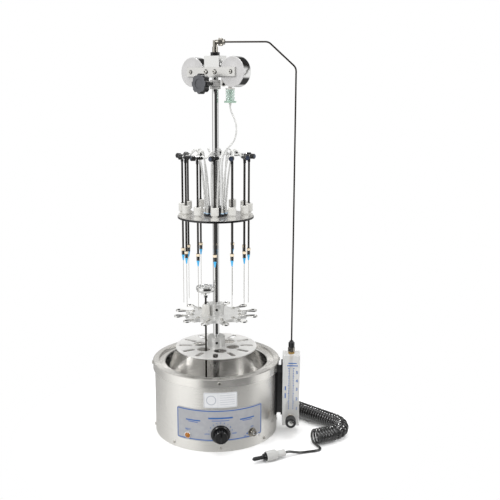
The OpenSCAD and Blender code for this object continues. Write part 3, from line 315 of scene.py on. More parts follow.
class Print:
    """Flat lines, dots and figures, laid on a surface by a function of (x, y)."""

    def __init__(self, lay):
        self.shape, self.lay = Shape(), lay

    def flat(self, points, faces):
        self.shape.add([self.lay(x, y) for x, y in points], faces)

    def ribbon(self, pairs):
        """A strip whose two edges are given point by point."""
        count = len(pairs) // 2 - 1
        self.flat(pairs, [(2 * i, 2 * i + 1, 2 * i + 3, 2 * i + 2) for i in range(count)])

    def stroke(self, x0, y0, x1, y1, width, step=3):
        length = hypot(x1 - x0, y1 - y0)
        n = max(1, int(length / step))
        nx, ny = -(y1 - y0) / length * width / 2, (x1 - x0) / length * width / 2
        pairs = []
        for i in range(n + 1):
            x, y = x0 + (x1 - x0) * i / n, y0 + (y1 - y0) * i / n
            pairs += [(x + nx, y + ny), (x - nx, y - ny)]
        self.ribbon(pairs)

    def ring(self, x, y, r, width, start=0, sweep=360, n=48):
        pairs = []
        for i in range(n + 1):
            a = radians(start + sweep * i / n)
            pairs += [(x + q * cos(a), y + q * sin(a)) for q in (r + width / 2, r - width / 2)]
        self.ribbon(pairs)

    def dot(self, x, y, r, n=20):
        turns = [2 * pi * i / n for i in range(n)]
        self.flat([(x + r * cos(a), y + r * sin(a)) for a in turns], [tuple(range(n))])

    def text(self, text, x, y, size):
        points, faces = glyphs(text, size)
        self.flat([(x + u, y + v) for u, v in points], faces)

    def frame(self, x0, y0, x1, y1, r, width):
        """A rectangle's outline with round corners."""
        for y in (y0, y1):
            self.stroke(x0 + r, y, x1 - r, y, width)
        for x in (x0, x1):
            self.stroke(x, y0 + r, x, y1 - r, width)
        left, right, low, high = x0 + r, x1 - r, y0 + r, y1 - r
        for x, y, start in ((left, low, 180), (right, low, 270), (right, high, 0), (left, high, 90)):
            self.ring(x, y, r, width, start, 90, 8)


def on_cylinder(radius):
    """Lays (x, y) on the front of a cylinder: x along its curve, y up."""
    return lambda x, y: (radius * sin(x / radius), -radius * cos(x / radius), y)


def on_frame(matrix, lift):
    return lambda x, y: matrix @ Vector((x, y, lift))


# ---- materials


def srgb(r, g, b):
    def linear(c):
        c /= 255
        return c / 12.92 if c <= 0.04045 else ((c + 0.055) / 1.055) ** 2.4

    return (linear(r), linear(g), linear(b), 1)


def shade(color, by, plus=0):
    return tuple(min(1, c * by + plus) for c in color[:3]) + (1,)


def add_node(tree, kind, inputs=(), **props):
    """A shader node. Each input gets a value, or the socket that feeds it."""
    n = tree.nodes.new("ShaderNode" + kind)
    for key, value in props.items():
        setattr(n, key, value)
    for key, value in dict(inputs).items():
        if isinstance(value, bpy.types.NodeSocket):
            tree.links.new(value, n.inputs[key])
        else:
            n.inputs[key].default_value = value
    return n


class Surface:
    """A Principled material with helpers that chain procedural nodes in a piece's own coordinates."""

    def __init__(self, name, rgb, rough=0.4, metal=0, at=None, **sockets):
        self.mat = bpy.data.materials.new(name)
        self.mat.use_nodes = True
        self.tree = self.mat.node_tree
        self.bsdf = self.tree.nodes["Principled BSDF"]
        self.color = self.tint = srgb(*rgb)
        self.rough, self.normal = rough, None
        sockets.update(Base_Color=self.color, Roughness=rough, Metallic=metal)
        for key, value in sockets.items():
            self.bsdf.inputs[key.replace("_", " ")].default_value = value
        coords = self.node("TexCoord").outputs["Object"]
        if at is not None:
            place = self.node("Mapping", {"Vector": coords}, vector_type="TEXTURE")
            place.inputs["Location"].default_value = [mm(c) for c in at.to_translation()]
            place.inputs["Rotation"].default_value = at.to_euler()
            coords = place.outputs[0]
        millimetres = self.node("VectorMath", {0: coords, "Scale": 1000}, operation="SCALE")
        self.coords = millimetres.outputs[0]

    def node(self, kind, inputs=(), **props):
        return add_node(self.tree, kind, inputs, **props)

    def math(self, operation, a, b=0, clamp=False):
        return self.node("Math", {0: a, 1: b}, operation=operation, use_clamp=clamp).outputs[0]

    def stretch(self, *by):
        return self.node("VectorMath", {0: self.coords, 1: by}, operation="MULTIPLY").outputs[0]

    def turned(self, around, across):
        """Coordinates that run round the Z axis: slow along the turn, fast across it."""
        x, y, z = self.node("SeparateXYZ", {0: self.coords}).outputs
        r = self.math("SQRT", self.math("ADD", self.math("MULTIPLY", x, x), self.math("MULTIPLY", y, y)))
        r = self.math("MAXIMUM", r, 0.01)
        c, s = self.math("DIVIDE", x, r), self.math("DIVIDE", y, r)
        rise = self.math("MULTIPLY", self.math("ADD", z, self.math("MULTIPLY", r, 1.37)), across)
        round_z = {0: self.math("MULTIPLY", c, around), 1: self.math("MULTIPLY", s, around), 2: rise}
        return self.node("CombineXYZ", round_z).outputs[0]

    def noise(self, vector=None, scale=1, detail=3, low=0.3, high=0.7):
        """Noise in millimetres, spread so that low..high covers 0..1."""
        n = self.node("TexNoise", {"Vector": vector or self.coords, "Scale": scale, "Detail": detail})
        spread = {"Value": n.outputs["Fac"], "From Min": low, "From Max": high}
        return self.node("MapRange", spread).outputs[0]

    def vary_rough(self, value, spread):
        """Roughness goes up and down by spread as value goes from 0 to 1."""
        here = self.node("MapRange", {"Value": value, "To Min": -spread, "To Max": spread}).outputs[0]
        self.rough = self.math("ADD", self.rough, here, True)
        self.tree.links.new(self.rough, self.bsdf.inputs["Roughness"])

    def vary_color(self, value, other):
        """The base colour goes to other as value goes from 0 to 1."""
        self.tint = self.node("MixRGB", {"Fac": value, "Color1": self.tint, "Color2": other}).outputs[0]
        self.tree.links.new(self.tint, self.bsdf.inputs["Base Color"])

    def set_normal(self, node):
        self.normal = node.outputs[0]
        self.tree.links.new(self.normal, self.bsdf.inputs["Normal"])

    def bump(self, value, depth):
        """Height in millimetres under the surface's own normal."""
        inputs = {"Height": value, "Distance": mm(depth), "Strength": 1}
        if self.normal:
            inputs["Normal"] = self.normal
        self.set_normal(self.node("Bump", inputs))

    def soft_edges(self, radius):
        """Rounds the look of sharp edges."""
        self.set_normal(self.node("Bevel", {"Radius": mm(radius)}, samples=4))


def steel(name, rgb, rough, lines=None, at=None, edge=0.35, smudge=0.05, depth=0.004):
    """Metal with machining or brushing lines: 'turned' round Z, or 'x' or 'z' along an axis."""
    s = Surface(name, rgb, rough, 1, at)
    if edge:
        s.soft_edges(edge)
    if lines == "turned":
        fine, broad = s.turned(6, 9), s.turned(2.5, 0.35)
    elif lines:
        fine = s.stretch(*[0.05 if axis == lines else 7 for axis in "xyz"])
        broad = s.stretch(*[0.004 if axis == lines else 0.12 for axis in "xyz"])
    else:
        fine, broad = s.stretch(3, 3, 3), s.stretch(0.08, 0.08, 0.08)
    grain = s.noise(fine, 1, 3, 0.25, 0.75)
    s.vary_rough(grain, rough * 0.25)
    s.vary_rough(s.noise(broad, 1, 2), rough * 0.2)
    s.vary_rough(s.noise(None, 0.035, 4, 0.5, 0.75), smudge)
    s.vary_color(grain, shade(s.color, 0.86))
    s.bump(grain, depth)
    return s.mat


def brushed(name, rgb, rough):
    """Sheet steel brushed round the drum: hair lines that spread the light up and down."""
    s = Surface(name, rgb, rough, 0.86, Anisotropic=0.5)
    hair = s.noise(s.turned(1.2, 14), 1, 2, 0.25, 0.75)
    s.vary_rough(hair, 0.05)
    s.vary_rough(s.noise(None, 0.02, 3, 0.5, 0.75), 0.05)
    for share in (hair, s.noise(s.stretch(0.02, 0.02, 0.004), 1, 2, 0.4, 0.7)):
        s.vary_color(share, shade(s.color, 0.95))
    s.bump(hair, 0.0006)
    return s.mat


def satin(name, rgb, rough, lines, metal=0.4):
    """Blasted or anodised metal: about half of it a matt reflection."""
    s = Surface(name, rgb, rough, metal)
    s.soft_edges(0.4)
    fine = s.turned(5, 7) if lines == "turned" else s.stretch(0.06, 5, 5)
    grain = s.noise(fine, 1, 3, 0.25, 0.75)
    s.vary_rough(grain, 0.05)
    s.vary_rough(s.noise(None, 0.035, 4, 0.5, 0.75), 0.06)
    s.vary_color(grain, shade(s.color, 0.93))
    s.bump(grain, 0.0015)
    return s.mat


def plastic(name, rgb, rough, grain, depth, wear=None):
    """Moulded plastic with a fine grain, faint dust and worn patches."""
    s = Surface(name, rgb, rough)
    s.soft_edges(0.3)
    texture = s.noise(None, grain, 4)
    s.vary_rough(texture, rough * 0.25)
    s.vary_rough(s.noise(None, 0.06, 3, 0.45, 0.75), 0.06)
    s.vary_color(s.noise(None, 0.12, 4, 0.4, 0.8), srgb(*wear) if wear else shade(s.color, 1.12, 0.004))
    s.bump(texture, depth)
    return s.mat


def clear(name, rgb, rough, ior, haze):
    """Clear plastic or glass with a slight haze."""
    s = Surface(name, rgb, rough, Transmission_Weight=1 - haze, IOR=ior)
    texture = s.noise(None, 0.35, 2)
    s.vary_rough(texture, rough * 0.4)
    s.vary_color(s.noise(None, 0.1, 3, 0.4, 0.8), shade(s.color, 0.97))
    s.bump(texture, 0.006)
    return s.mat


def ink(name, rgb, rough=0.45):
    """Screen print: a matt colour with slightly broken cover."""
    s = Surface(name, rgb, rough)
    speck = s.noise(None, 2.5, 2, 0.55, 0.8)
    s.vary_color(speck, shade(s.color, 1.3, 0.02))
    s.vary_rough(s.noise(None, 0.8, 2), 0.08)
    s.bump(speck, 0.01)
    return s.mat


def hose_material():
    s = Surface("hose_polyurethane", (10, 10, 11), 0.12, IOR=2)
    grain = s.noise(None, 0.9, 3)
    s.vary_rough(grain, 0.03)
    s.vary_rough(s.noise(None, 0.05, 3, 0.45, 0.75), 0.05)
    s.vary_color(s.noise(None, 0.2, 4, 0.5, 0.85), srgb(24, 24, 24))
    s.bump(grain, 0.003)
    return s.mat


def amber_material():
    s = Surface(
        "amber_lens", (192, 126, 32), 0.12, Transmission_Weight=0.35,
        Emission_Color=srgb(255, 150, 20), Emission_Strength=0.02)
    cell = s.node("TexVoronoi", {"Vector": s.coords, "Scale": 0.9}).outputs["Distance"]
    s.vary_color(cell, srgb(140, 78, 14))
    s.bump(cell, 0.15)
    s.vary_rough(s.noise(None, 0.9), 0.05)
    return s.mat


def head_frame(x=0, y=0, z=0):
    """A place on the head, whose bars lie along its own X."""
    return spin(HEAD_AZ) @ move((x, y, z))


def drum_frame(side):
    return head_frame(side * DRUM_X, 0, DRUM_Z) @ spin(90, "X")


CHROME, ALU = (228, 228, 228), (224, 224, 223)
STEM = polar(THERMO_R, THERMO_AZ)

MAT.update({
    "housing": brushed("housing_steel", (228, 226, 222), 0.34),
    "well": steel("well_steel", (234, 233, 231), 0.2, "turned", edge=0.6, depth=0.001),
    "pan": steel("pan_steel", (150, 148, 145), 0.42, "turned"),
    "panel": plastic("panel_foil", (150, 151, 155), 0.42, 1.4, 0.008, (158, 159, 162)),
    "rod": steel("rod_chrome", CHROME, 0.07, "turned", edge=0.3, smudge=0.02, depth=0.0005),
    "plate": satin("plate_steel", (216, 215, 213), 0.36, "x"),
    "holder": satin("holder_alu", (206, 206, 204), 0.36, "turned", 0.5),
    "skirt": brushed("skirt_steel", (224, 222, 218), 0.22),
    # A darker copy of the skirt's steel, for the rim's level faces: painted shade.
    "rim": brushed("rim_steel", (196, 194, 190), 0.3),
    "clip": steel("clip_spring", (224, 223, 220), 0.16, edge=0.15, smudge=0.04),
    "screw": steel("screw_zinc", (205, 203, 198), 0.22, edge=0.3),
    # Near-black: painted shade in the screw sockets, the set screw holes and round the bar screws' heads, and
    # also the collar's dark seam rings.
    "shade_and_seam": plastic("shade_and_seam_dark", (14, 14, 14), 0.5, 0.8, 0.004),
    "chrome": steel("bright_chrome", CHROME, 0.09, "turned", edge=0.25, smudge=0.03, depth=0.001),
    "dial_case": steel("dial_case", CHROME, 0.1, "turned", move(STEM)),
    "needle_tube": steel("needle_tube", (84, 82, 80), 0.14, "z", edge=0, smudge=0.02, depth=0.0003),
    "collar": satin("collar_grey", (206, 205, 203), 0.42, "turned"),
    "brass": steel("brass", (196, 160, 92), 0.24),
    "nickel": steel("nickel", (166, 162, 154), 0.2),
    "line": steel("line_steel", (52, 47, 43), 0.22, edge=0, smudge=0.02, depth=0.0004),
    "heater": steel("heater_metal", (120, 112, 100), 0.5, "turned"),
    "black": plastic("black_plastic", (22, 22, 23), 0.22, 0.7, 0.015, (34, 34, 36)),
    "black_gloss": plastic("black_gloss", (16, 16, 17), 0.12, 0.3, 0.004, (22, 22, 24)),
    "black_grain": plastic("black_grain", (26, 26, 27), 0.45, 1.6, 0.05, (42, 42, 44)),
    "grey_face": plastic("grey_face", (74, 75, 79), 0.5, 1.2, 0.02, (84, 85, 89)),
    "slate": plastic("slate_cap", (42, 50, 68), 0.3, 0.9, 0.02, (56, 64, 82)),
    "cap": steel("silver_cap", (236, 236, 234), 0.3, "turned", edge=0.2),
    "hub_black": plastic("hub_black", (20, 20, 24), 0.2, 0.5, 0.01, (30, 30, 38)),
    "disk": satin("disk_anodised", (176, 174, 172), 0.24, "turned"),
    "white": plastic("white_plastic", (208, 207, 203), 0.35, 0.6, 0.01, (198, 196, 190)),
    "plug": plastic("plug_white", (176, 176, 174), 0.4, 0.6, 0.01, (166, 165, 162)),
    "cream": plastic("cream_plastic", (238, 222, 196), 0.35, 0.8, 0.02, (226, 208, 178)),
    "drum": plastic("drum_face", (190, 189, 189), 0.45, 0.5, 0.02, (182, 181, 180)),
    "green": clear("green_plastic", (178, 204, 188), 0.2, 1.2, 0.35),
    "blue_hub": plastic("blue_hub", (62, 176, 232), 0.25, 0.8, 0.015, (96, 194, 240)),
    "pale_blue": plastic("pale_blue", (176, 206, 232), 0.3, 0.8, 0.015),
    "paint": plastic("bracket_paint", (17, 17, 18), 0.38, 1.2, 0.05, (28, 28, 30)),
    "rubber": plastic("rubber", (24, 24, 25), 0.6, 1.4, 0.05, (38, 38, 38)),
    "tubing": clear("clear_tubing", (224, 224, 222), 0.3, 1.06, 0.8),
    "acrylic": clear("acrylic", (214, 214, 213), 0.08, 1.1, 0.55),
    "gauge": clear("gauge_tube", (206, 216, 236), 0.1, 1.05, 0.9),
    "glass": clear("cup_glass", (226, 236, 231), 0.05, 1.15, 0.2),
    "dial_glass": clear("dial_glass", (240, 240, 240), 0.03, 1.1, 0.1),
    "blue": ink("blue_print", (34, 84, 152)),
    "black_ink": ink("black_print", (30, 30, 32)),
    "grey_ink": ink("grey_print", (158, 162, 170)),
    "dial": ink("dial_face", (232, 232, 228), 0.5),
    "label": ink("label_foil", (202, 203, 205), 0.35),
    "hose": hose_material(),
    "amber": amber_material(),
    "block": steel("block_alu_head", ALU, 0.36, "x", head_frame(), edge=0.6),
    "bar": steel("bar_alu_head", (214, 213, 211), 0.28, "x", head_frame(), edge=0.4),
    "band_left": steel("drum_band_left_", CHROME, 0.1, "turned", drum_frame(-1), edge=0.2, smudge=0.04),
    "band_right": steel("drum_band_right", CHROME, 0.1, "turned", drum_frame(1), edge=0.2, smudge=0.04),
    "needle_pale": steel("needle_pale", (248, 246, 242), 0.3, "z", edge=0),
    "luer": steel("luer_metal", (104, 102, 100), 0.1, "turned", edge=0.2, depth=0.001),
})

# ---- the hose

COIL_START, COIL_HEADING = Vector((162, 50, 0)), -48.5
LEG_ONE, BEND_R, BEND_ANGLE, LEG_TWO = 123.7, 34, 111.5, 44
TURNS_ONE, TURNS_BEND, TURNS_TWO = 20, 7, 7
COIL_R, COIL_Z = (COIL_D - HOSE_D) / 2, COIL_D / 2 + 0.1
BEND_L = BEND_R * radians(BEND_ANGLE)
POINTS_PER_TURN = 24
BEND_CENTRE = COIL_START + LEG_ONE * plan(COIL_HEADING) + BEND_R * plan(COIL_HEADING - 90)
END_HEADING = COIL_HEADING - BEND_ANGLE
METER_BACK = plan(90 + METER_TURN)
HOSE_START = polar(LINE_R, LINE_AZ, HOSE_Z) + (METER_D / 2 + TAIL_FITTING) * METER_BACK


def coil_axis(s):
    """Point and heading of the coil's axis after the distance s."""
    if s < LEG_ONE:
        return COIL_START + s * plan(COIL_HEADING), COIL_HEADING
    if s < LEG_ONE + BEND_L:
        h = COIL_HEADING - degrees((s - LEG_ONE) / BEND_R)
        return BEND_CENTRE + BEND_R * plan(h + 90), h
    beyond = (s - LEG_ONE - BEND_L) * plan(END_HEADING)
    return BEND_CENTRE + BEND_R * plan(END_HEADING + 90) + beyond, END_HEADING


def coil_point(n):
    """Point of the coil after n turns."""
    if n < TURNS_ONE:
        s = LEG_ONE * n / TURNS_ONE
    elif n < TURNS_ONE + TURNS_BEND:
        s = LEG_ONE + BEND_L * (n - TURNS_ONE) / TURNS_BEND
    else:
        s = LEG_ONE + BEND_L + LEG_TWO * (n - TURNS_ONE - TURNS_BEND) / TURNS_TWO
    c, h = coil_axis(s)
    a = 2 * pi * n
    return Vector((c.x, c.y, COIL_Z)) + COIL_R * (sin(a) * plan(h + 90) - Vector((0, 0, cos(a))))


def build_hose():
    turns = TURNS_ONE + TURNS_BEND + TURNS_TWO
    entry = coil_point(0) - HOSE_D * plan(COIL_HEADING + 90)
    leave = coil_point(turns) + HOSE_D * plan(END_HEADING + 90)
    tail = [
        HOSE_START, HOSE_START + HOSE_D * METER_BACK,
        (155.8, -8, 21.4), (156.8, 0, 18), (157, 7, 12), (156.4, 13, 6.4), (155, 20, 3.4),
        (153.2, 27, 2.6), (152.2, 34, 2.5), (152.8, 39.6, 2.5),
        entry - HOSE_D * plan(COIL_HEADING + 90), entry,
    ]
    lead = [
        leave, leave + HOSE_D * plan(END_HEADING + 90),
        (194, -126, 2.5), (196, -133, 2.5), (195, -139, 2.5), (190, -143, 2.5), (181, -145.4, 2.5),
        (167, -147.6, 2.5), (154, -150.2, 3), (141, -154.2, 6.6),
        Vector(PLUG_POS) - 2 * HOSE_D * plan(PLUG_AZ), Vector(PLUG_POS),
    ]
    coil = [coil_point(i / POINTS_PER_TURN) for i in range(turns * POINTS_PER_TURN + 1)]
    path = smooth_line(tail, 5)[:-1] + [entry] + coil + [leave] + smooth_line(lead, 5)[1:]
    for p in path:
        p.z = max(p.z, HOSE_D / 2)
    length = sum((b - a).length for a, b in zip(path, path[1:]))
    hose = Shape().add(*tube(path, HOSE_D / 2, 12)).make("recoil_hose", "hose", "root", slot="hose_black")
    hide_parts("hose_tail", "hose_coil", "hose_lead")
    [[mm(c) for c in p] for p in path]


build_hose()

# ---- floor and light

FLOOR_SHADE, FLOOR_WHITE, FLOOR_R, FLOOR_DROP = 230, 420, 900, 0.2


def build_stage():
    """A paper floor that goes over into the white background away from the object."""
    s = Surface("floor_paper", (245, 245, 245), 0.7)
    s.vary_rough(s.noise(None, 0.4, 4), 0.08)
    s.bump(s.noise(None, 0.3, 4), 0.05)
    way = s.node("VectorMath", {0: s.coords}, operation="LENGTH").outputs["Value"]
    far = s.node(
        "MapRange", {"Value": way, "From Min": FLOOR_SHADE, "From Max": FLOOR_WHITE},
        interpolation_type="SMOOTHSTEP")
    glow = s.node("Emission", {"Color": (1, 1, 1, 1), "Strength": 1})
    mix = s.node("MixShader", {0: far.outputs[0], 1: s.bsdf.outputs[0], 2: glow.outputs[0]})
    s.tree.links.new(mix.outputs[0], s.tree.nodes["Material Output"].inputs["Surface"])
    MAT["floor"] = s.mat
    disk = lathe([(0, 0), (FLOOR_WHITE, 0), (FLOOR_R, 0)], 96, False)
    floor = mesh_object("floor", *disk, "floor", None, False)
    floor.location.z = mm(-FLOOR_DROP)
    floor.visible_glossy = False


def area_light(name, place, target, size, power, glossy=True, diffuse=True):
    data = bpy.data.lights.new(name, "AREA")
    data.shape, data.size, data.size_y, data.energy = "RECTANGLE", size[0], size[1], power
    light = scene_object(name, data)
    light.location = place
    light.rotation_mode = "QUATERNION"
    light.rotation_quaternion = (Vector(target) - Vector(place)).to_track_quat("-Z", "Y")
    light.visible_glossy, light.visible_diffuse = glossy, diffuse


# Studio as the metals see it: (degrees round the object, brightness). 0 is the photograph's side and
# + is to its right. There is one row for low directions, one for high and one for steep downward ones
LOW_STUDIO = [
    (-180, 0.5), (-150, 0.4), (-118, 0.5), (-96, 0.9), (-76, 1.3), (-58, 1.35), (-40, 1.1), (-31, 0.5),
    (-24, 0.08), (0, 0.05), (56, 0.05), (66, 0.5), (76, 0.95), (92, 1.15), (108, 1), (122, 0.6),
    (150, 0.35), (180, 0.5),
]
HIGH_STUDIO = [
    (-180, 1), (-120, 0.9), (-75, 1.15), (-30, 0.85), (0, 0.6), (50, 0.6), (82, 0.9), (94, 0.5),
    (104, 0.04), (164, 0.04), (172, 0.6), (180, 1),
]
DEEP_STUDIO = [(-180, 0.8), (98, 0.8), (106, 0.06), (150, 0.06), (160, 0.75), (180, 0.8)]
WARMTH = 0.985


def build_world():
    """White where the camera sees it, the studio where metal reflects it, plain grey for soft light."""
    world = bpy.data.worlds.new("studio")
    bpy.context.scene.world = world
    world.use_nodes = True
    tree = world.node_tree
    tree.nodes.clear()

    def node(kind, inputs=(), **props):
        return add_node(tree, kind, inputs, **props).outputs

    def mix(share, a, b):
        return node("MixRGB", {"Fac": share, "Color1": a, "Color2": b})[0]

    def spread(value, low, high, kind="LINEAR"):
        inputs = {"Value": value, "From Min": low, "From Max": high}
        return node("MapRange", inputs, interpolation_type=kind)[0]

    def ramp(stops):
        n = add_node(tree, "ValToRGB", {"Fac": share})
        elements = n.color_ramp.elements
        elements.remove(elements[0])
        for i, (turn, level) in enumerate(stops):
            at = (turn + 180) / 360
            e = elements[0] if i == 0 else elements.new(at)
            e.position, e.color = at, (level, level, level * WARMTH, 1)
        return n.outputs[0]

    x, y, z = node("SeparateXYZ", {0: node("TexCoord")["Generated"]})
    front = node("Math", {0: y, 1: -1}, operation="MULTIPLY")[0]
    share = spread(node("Math", {0: x, 1: front}, operation="ARCTAN2")[0], -pi, pi)
    studio = mix(spread(z, 0.1, 0.5, "SMOOTHSTEP"), ramp(LOW_STUDIO), ramp(HIGH_STUDIO))
    studio = mix(spread(z, -0.34, -0.5, "SMOOTHSTEP"), studio, ramp(DEEP_STUDIO))
    path = node("LightPath")
    seen = {0: path["Is Camera Ray"], 1: path["Is Transmission Ray"]}
    soft = mix(path["Is Diffuse Ray"], studio, (0.8, 0.8, 0.8, 1))
    final = mix(node("Math", seen, operation="MAXIMUM")[0], soft, (1, 1, 1, 1))
    add_node(tree, "OutputWorld", {0: node("Background", {"Color": final, "Strength": 1})[0]})


build_stage()
build_world()
area_light("key", (-1.5, -1.6, 1.9), (0, 0, 0.3), (1.3, 1), 30)
area_light("fill", (1.8, -1.2, 1.4), (0, 0, 0.3), (1, 1.4), 12)
area_light("top", (0.2, 0.3, 2.6), (0.05, 0, 0), (2.4, 2.4), 46, False)
area_light("spark", (0.3, 1.3, 2.3), (0.2, -0.05, 0.1), (0.5, 0.3), 45, True, False)
bpy.context.scene.view_settings.view_transform = "Standard"

# ---- finish of the CAD nodes

HEAD_INVERSE = head_frame().inverted()
METER = move(polar(LINE_R, LINE_AZ)) @ spin(METER_TURN)
METER_INVERSE = METER.inverted()
PLUG = frame_of(PLUG_POS, plan(PLUG_AZ), (0, 0, 1))
PLUG_INVERSE = PLUG.inverted()
STAR_FRONT = head_frame().to_3x3() @ Vector((0, -1, 0))
ORIGIN = Vector((0, 0, 0))


def finish_parts(name, materials, choose=lambda c, n: 0):
    """Gives each face of a node the material that choose(centre in mm, normal) picks."""
    data = CAD[name].data
    data.materials.clear()
    for key in materials:
        data.materials.append(MAT[key])
    for p in data.polygons:
        p.material_index = choose(p.center * 1000, p.normal)


def radius_of(c, axis=ORIGIN):
    """Distance from an upright axis."""
    return hypot(c.x - axis.x, c.y - axis.y)


def well_face(c, n):
    """Deep-drawn inside, flat rim or skirt. The rim's level faces get a darker copy of the skirt's brushed
    steel: painted shade.
    """
    if c.z < 132 or radius_of(c) < WELL_R + 0.5:
        return 0
    return 1 if abs(n.z) > 0.3 else 2


def screw_hole(c, z, half, reach):
    """Whether a face is in the front set screw's hole of a hub on the rod; those faces get near-black painted
    shade.
    """
    return abs(c.x) < half and c.y < -6.4 and abs(c.z - z) < half and radius_of(c) < reach


def lamp_face(c, n):
    along = c.dot(plan(LAMP_AZ))
    return 1 if along > 128.75 and (c - polar(along, LAMP_AZ, SWITCH_Z)).length < 5.32 else 0


def hub_face(c, n):
    """White barbs on the black hub."""
    if c.z > HUB_TOP + 0.05:
        return 1
    barbs = [polar(BARBS_R, place_az(k) + HUB_SHIFT) for k in range(PLACES)]
    return int(c.z > DISK_TOP + 5.02 and min(radius_of(c, p) for p in barbs) < 2.68)


def drum_face(side):
    inverse = drum_frame(side).inverted()
    return lambda c, n: 1 if radius_of(inverse @ c) > 24.55 else 0


def needle_face(k):
    """Steel tube, cream luer collar, dark luer body, blue hub, pale needle or black valve."""
    axis = polar(NEEDLE_R, place_az(k))

    def choose(c, n):
        r = radius_of(c, axis)
        if c.z > VALVE_Z - 12 and (r > 2.06 or c.z > VALVE_Z - 10.5):
            return 5
        if c.z > LUER_LOW + 13.4 or (r < 2.02 and c.z > TUBE_LOW - 0.5):
            return 0
        if c.z > LUER_LOW + 8.4:
            return 1
        if c.z > LUER_LOW + 0.01:
            return 2
        return 3 if r > 0.62 or c.z > NEEDLE_HUB_LOW + 0.01 else 4

    return choose


def valve_face(k):
    """Chrome ring at the knob's base, grey-blue cap at its end."""
    aim = plan(place_az(k) - VALVE_TURN)
    centre = polar(NEEDLE_R, place_az(k), VALVE_Z)

    def choose(c, n):
        along = (c - centre).dot(aim) - VALVE_BASE
        return 2 if along < 1.5 else 1 if along > VALVE_KNOB_L - 0.2 and n.dot(aim) > 0.9 else 0

    return choose


def line_face(c, n):
    """Black nuts, nickel fittings, brass washer and the steel line."""
    r = radius_of(c)
    if r < 12:
        return 0 if c.z < BLOCK_TOP + 7.01 else 1
    if r < 20 and c.z > LINE_Z - 14:
        p, along = c - Vector((0, 0, LINE_Z)), plan(LINE_AZ)
        return 1 if (p - p.dot(along) * along).length > LINE_EDGE else 3
    off, rise = radius_of(c, polar(LINE_R, LINE_AZ)), c.z - METER_TOP
    if rise < 3.01 and off < 8:
        return 2
    if rise < 13.01:
        return 1
    return 0 if rise < 27.2 and off > LINE_EDGE else 3


def cup_face(c, n):
    """White top, clear cup, green foot and drop tube."""
    q = HEAD_INVERSE @ c
    r = hypot(q.x - CUP_X, q.y - CUP_Y)
    if q.z < CUP_FOOT + 3.51 or (r < 3.02 and q.z < CUP_HIGH + 0.1):
        return 2
    return 1 if q.z < CUP_HIGH + 0.03 and r < 9.5 else 0


for node_name, key in {
    "outer_housing": "housing", "base_pan": "pan", "control_panel": "panel", "center_rod": "rod",
    "needle_collars": "white", "thermometer_bushing": "white", "holder_clips": "clip",
    "clamp_collar": "collar", "flowmeter_float": "black", "flowmeter_bracket": "paint",
    "toggle_lever": "chrome", "toggle_bushing": "nickel", "fasteners": "screw", "top_block": "block",
    "counterbalance_bars": "bar", "heat_knob": "black_gloss", "flowmeter_knob": "black_grain",
}.items():
    finish_parts(node_name, [key])
finish_parts("bath_well", ["well", "rim", "skirt"], well_face)
finish_parts("manifold_disk", ["disk", "black_gloss"], lambda c, n: 0 if abs(n.z) > 0.9 else 1)
finish_parts("thermometer", ["dial_case", "line"], lambda c, n: (
    1 if radius_of(c, STEM) < 2.6 and c.z < DIAL_TOP - 8 else 0))
# The faces in the hubs' set screw holes get near-black painted shade.
finish_parts("support_plate", ["plate", "holder", "shade_and_seam"], lambda c, n: (
    2 if screw_hole(c, 186.5, 2.75, 17.6) and c.y > -19 else 1 if c.z > PLATE_TOP + 0.2 else 0))
finish_parts("sample_holder", ["holder", "shade_and_seam"], lambda c, n: int(screw_hole(c, 256.25, 2.7, 16)))
finish_parts("pilot_lamp", ["chrome", "amber"], lamp_face)
finish_parts("heater_unit", ["heater", "black"], lambda c, n: int(c.y > 90 and c.z < 60 and abs(c.x) < 20))
finish_parts("gas_hub", ["hub_black", "white"], hub_face)
for side, word in ((-1, "left"), (1, "right")):
    finish_parts(f"{word}_spring_drum", ["drum", f"band_{word}"], drum_face(side))
for k in range(PLACES):
    finish_parts(
        f"needle_{k + 1:02d}", ["needle_tube", "cream", "luer", "blue_hub", "needle_pale", "black_gloss"],
        needle_face(k))
    finish_parts(f"valve_knob_{k + 1:02d}", ["black_gloss", "slate", "chrome"], valve_face(k))
finish_parts("clamp_knob", ["black", "grey_face"], lambda c, n: (
    1 if n.dot(STAR_FRONT) > 0.93 and c.dot(STAR_FRONT) > STAR_REACH + 4 else 0))
finish_parts("gas_line", ["black", "nickel", "brass", "line"], line_face)
finish_parts("filter_cup", ["white", "glass", "green"], cup_face)
finish_parts("flowmeter_body", ["acrylic", "brass"], lambda c, n: (
    1 if abs((METER_INVERSE @ c).y) > METER_D / 2 + 0.01 else 0))
finish_parts("hose_plug", ["plug", "black_gloss"], lambda c, n: 1 if (PLUG_INVERSE @ c).z > PLUG_SPLIT else 0)

# ---- clear tubing

TUBING_WALL, TUBING_SIDES = 0.55, 12


def pipe(points, outer):
    """Points and faces of a hollow tube whose outer radius is given for each point."""
    outside, faces = tube(points, outer, TUBING_SIDES, False)
    inside = tube(points, [r - TUBING_WALL for r in outer], TUBING_SIDES, False)[0]
    n, last = len(outside), len(outside) - TUBING_SIDES
    faces = faces + [tuple(n + i for i in reversed(f)) for f in faces]
    for k in range(TUBING_SIDES):
        j = (k + 1) % TUBING_SIDES
        faces += [(k, n + k, n + j, j), (last + j, last + n + j, last + n + k, last + k)]
    return outside + inside, faces


def tubing_piece(name, line, sleeves):
    """Tubing on a line, its two ends stretched over barbs."""
    first, second = sleeves
    radii = first + [TUBING_D / 2] * (len(line) - len(first) - len(second)) + second
    piece = Shape().add(*pipe(line, radii)).make(name, "tubing", None, slot="clear_tubing")
    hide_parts("gas_tubing")
    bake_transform(piece)


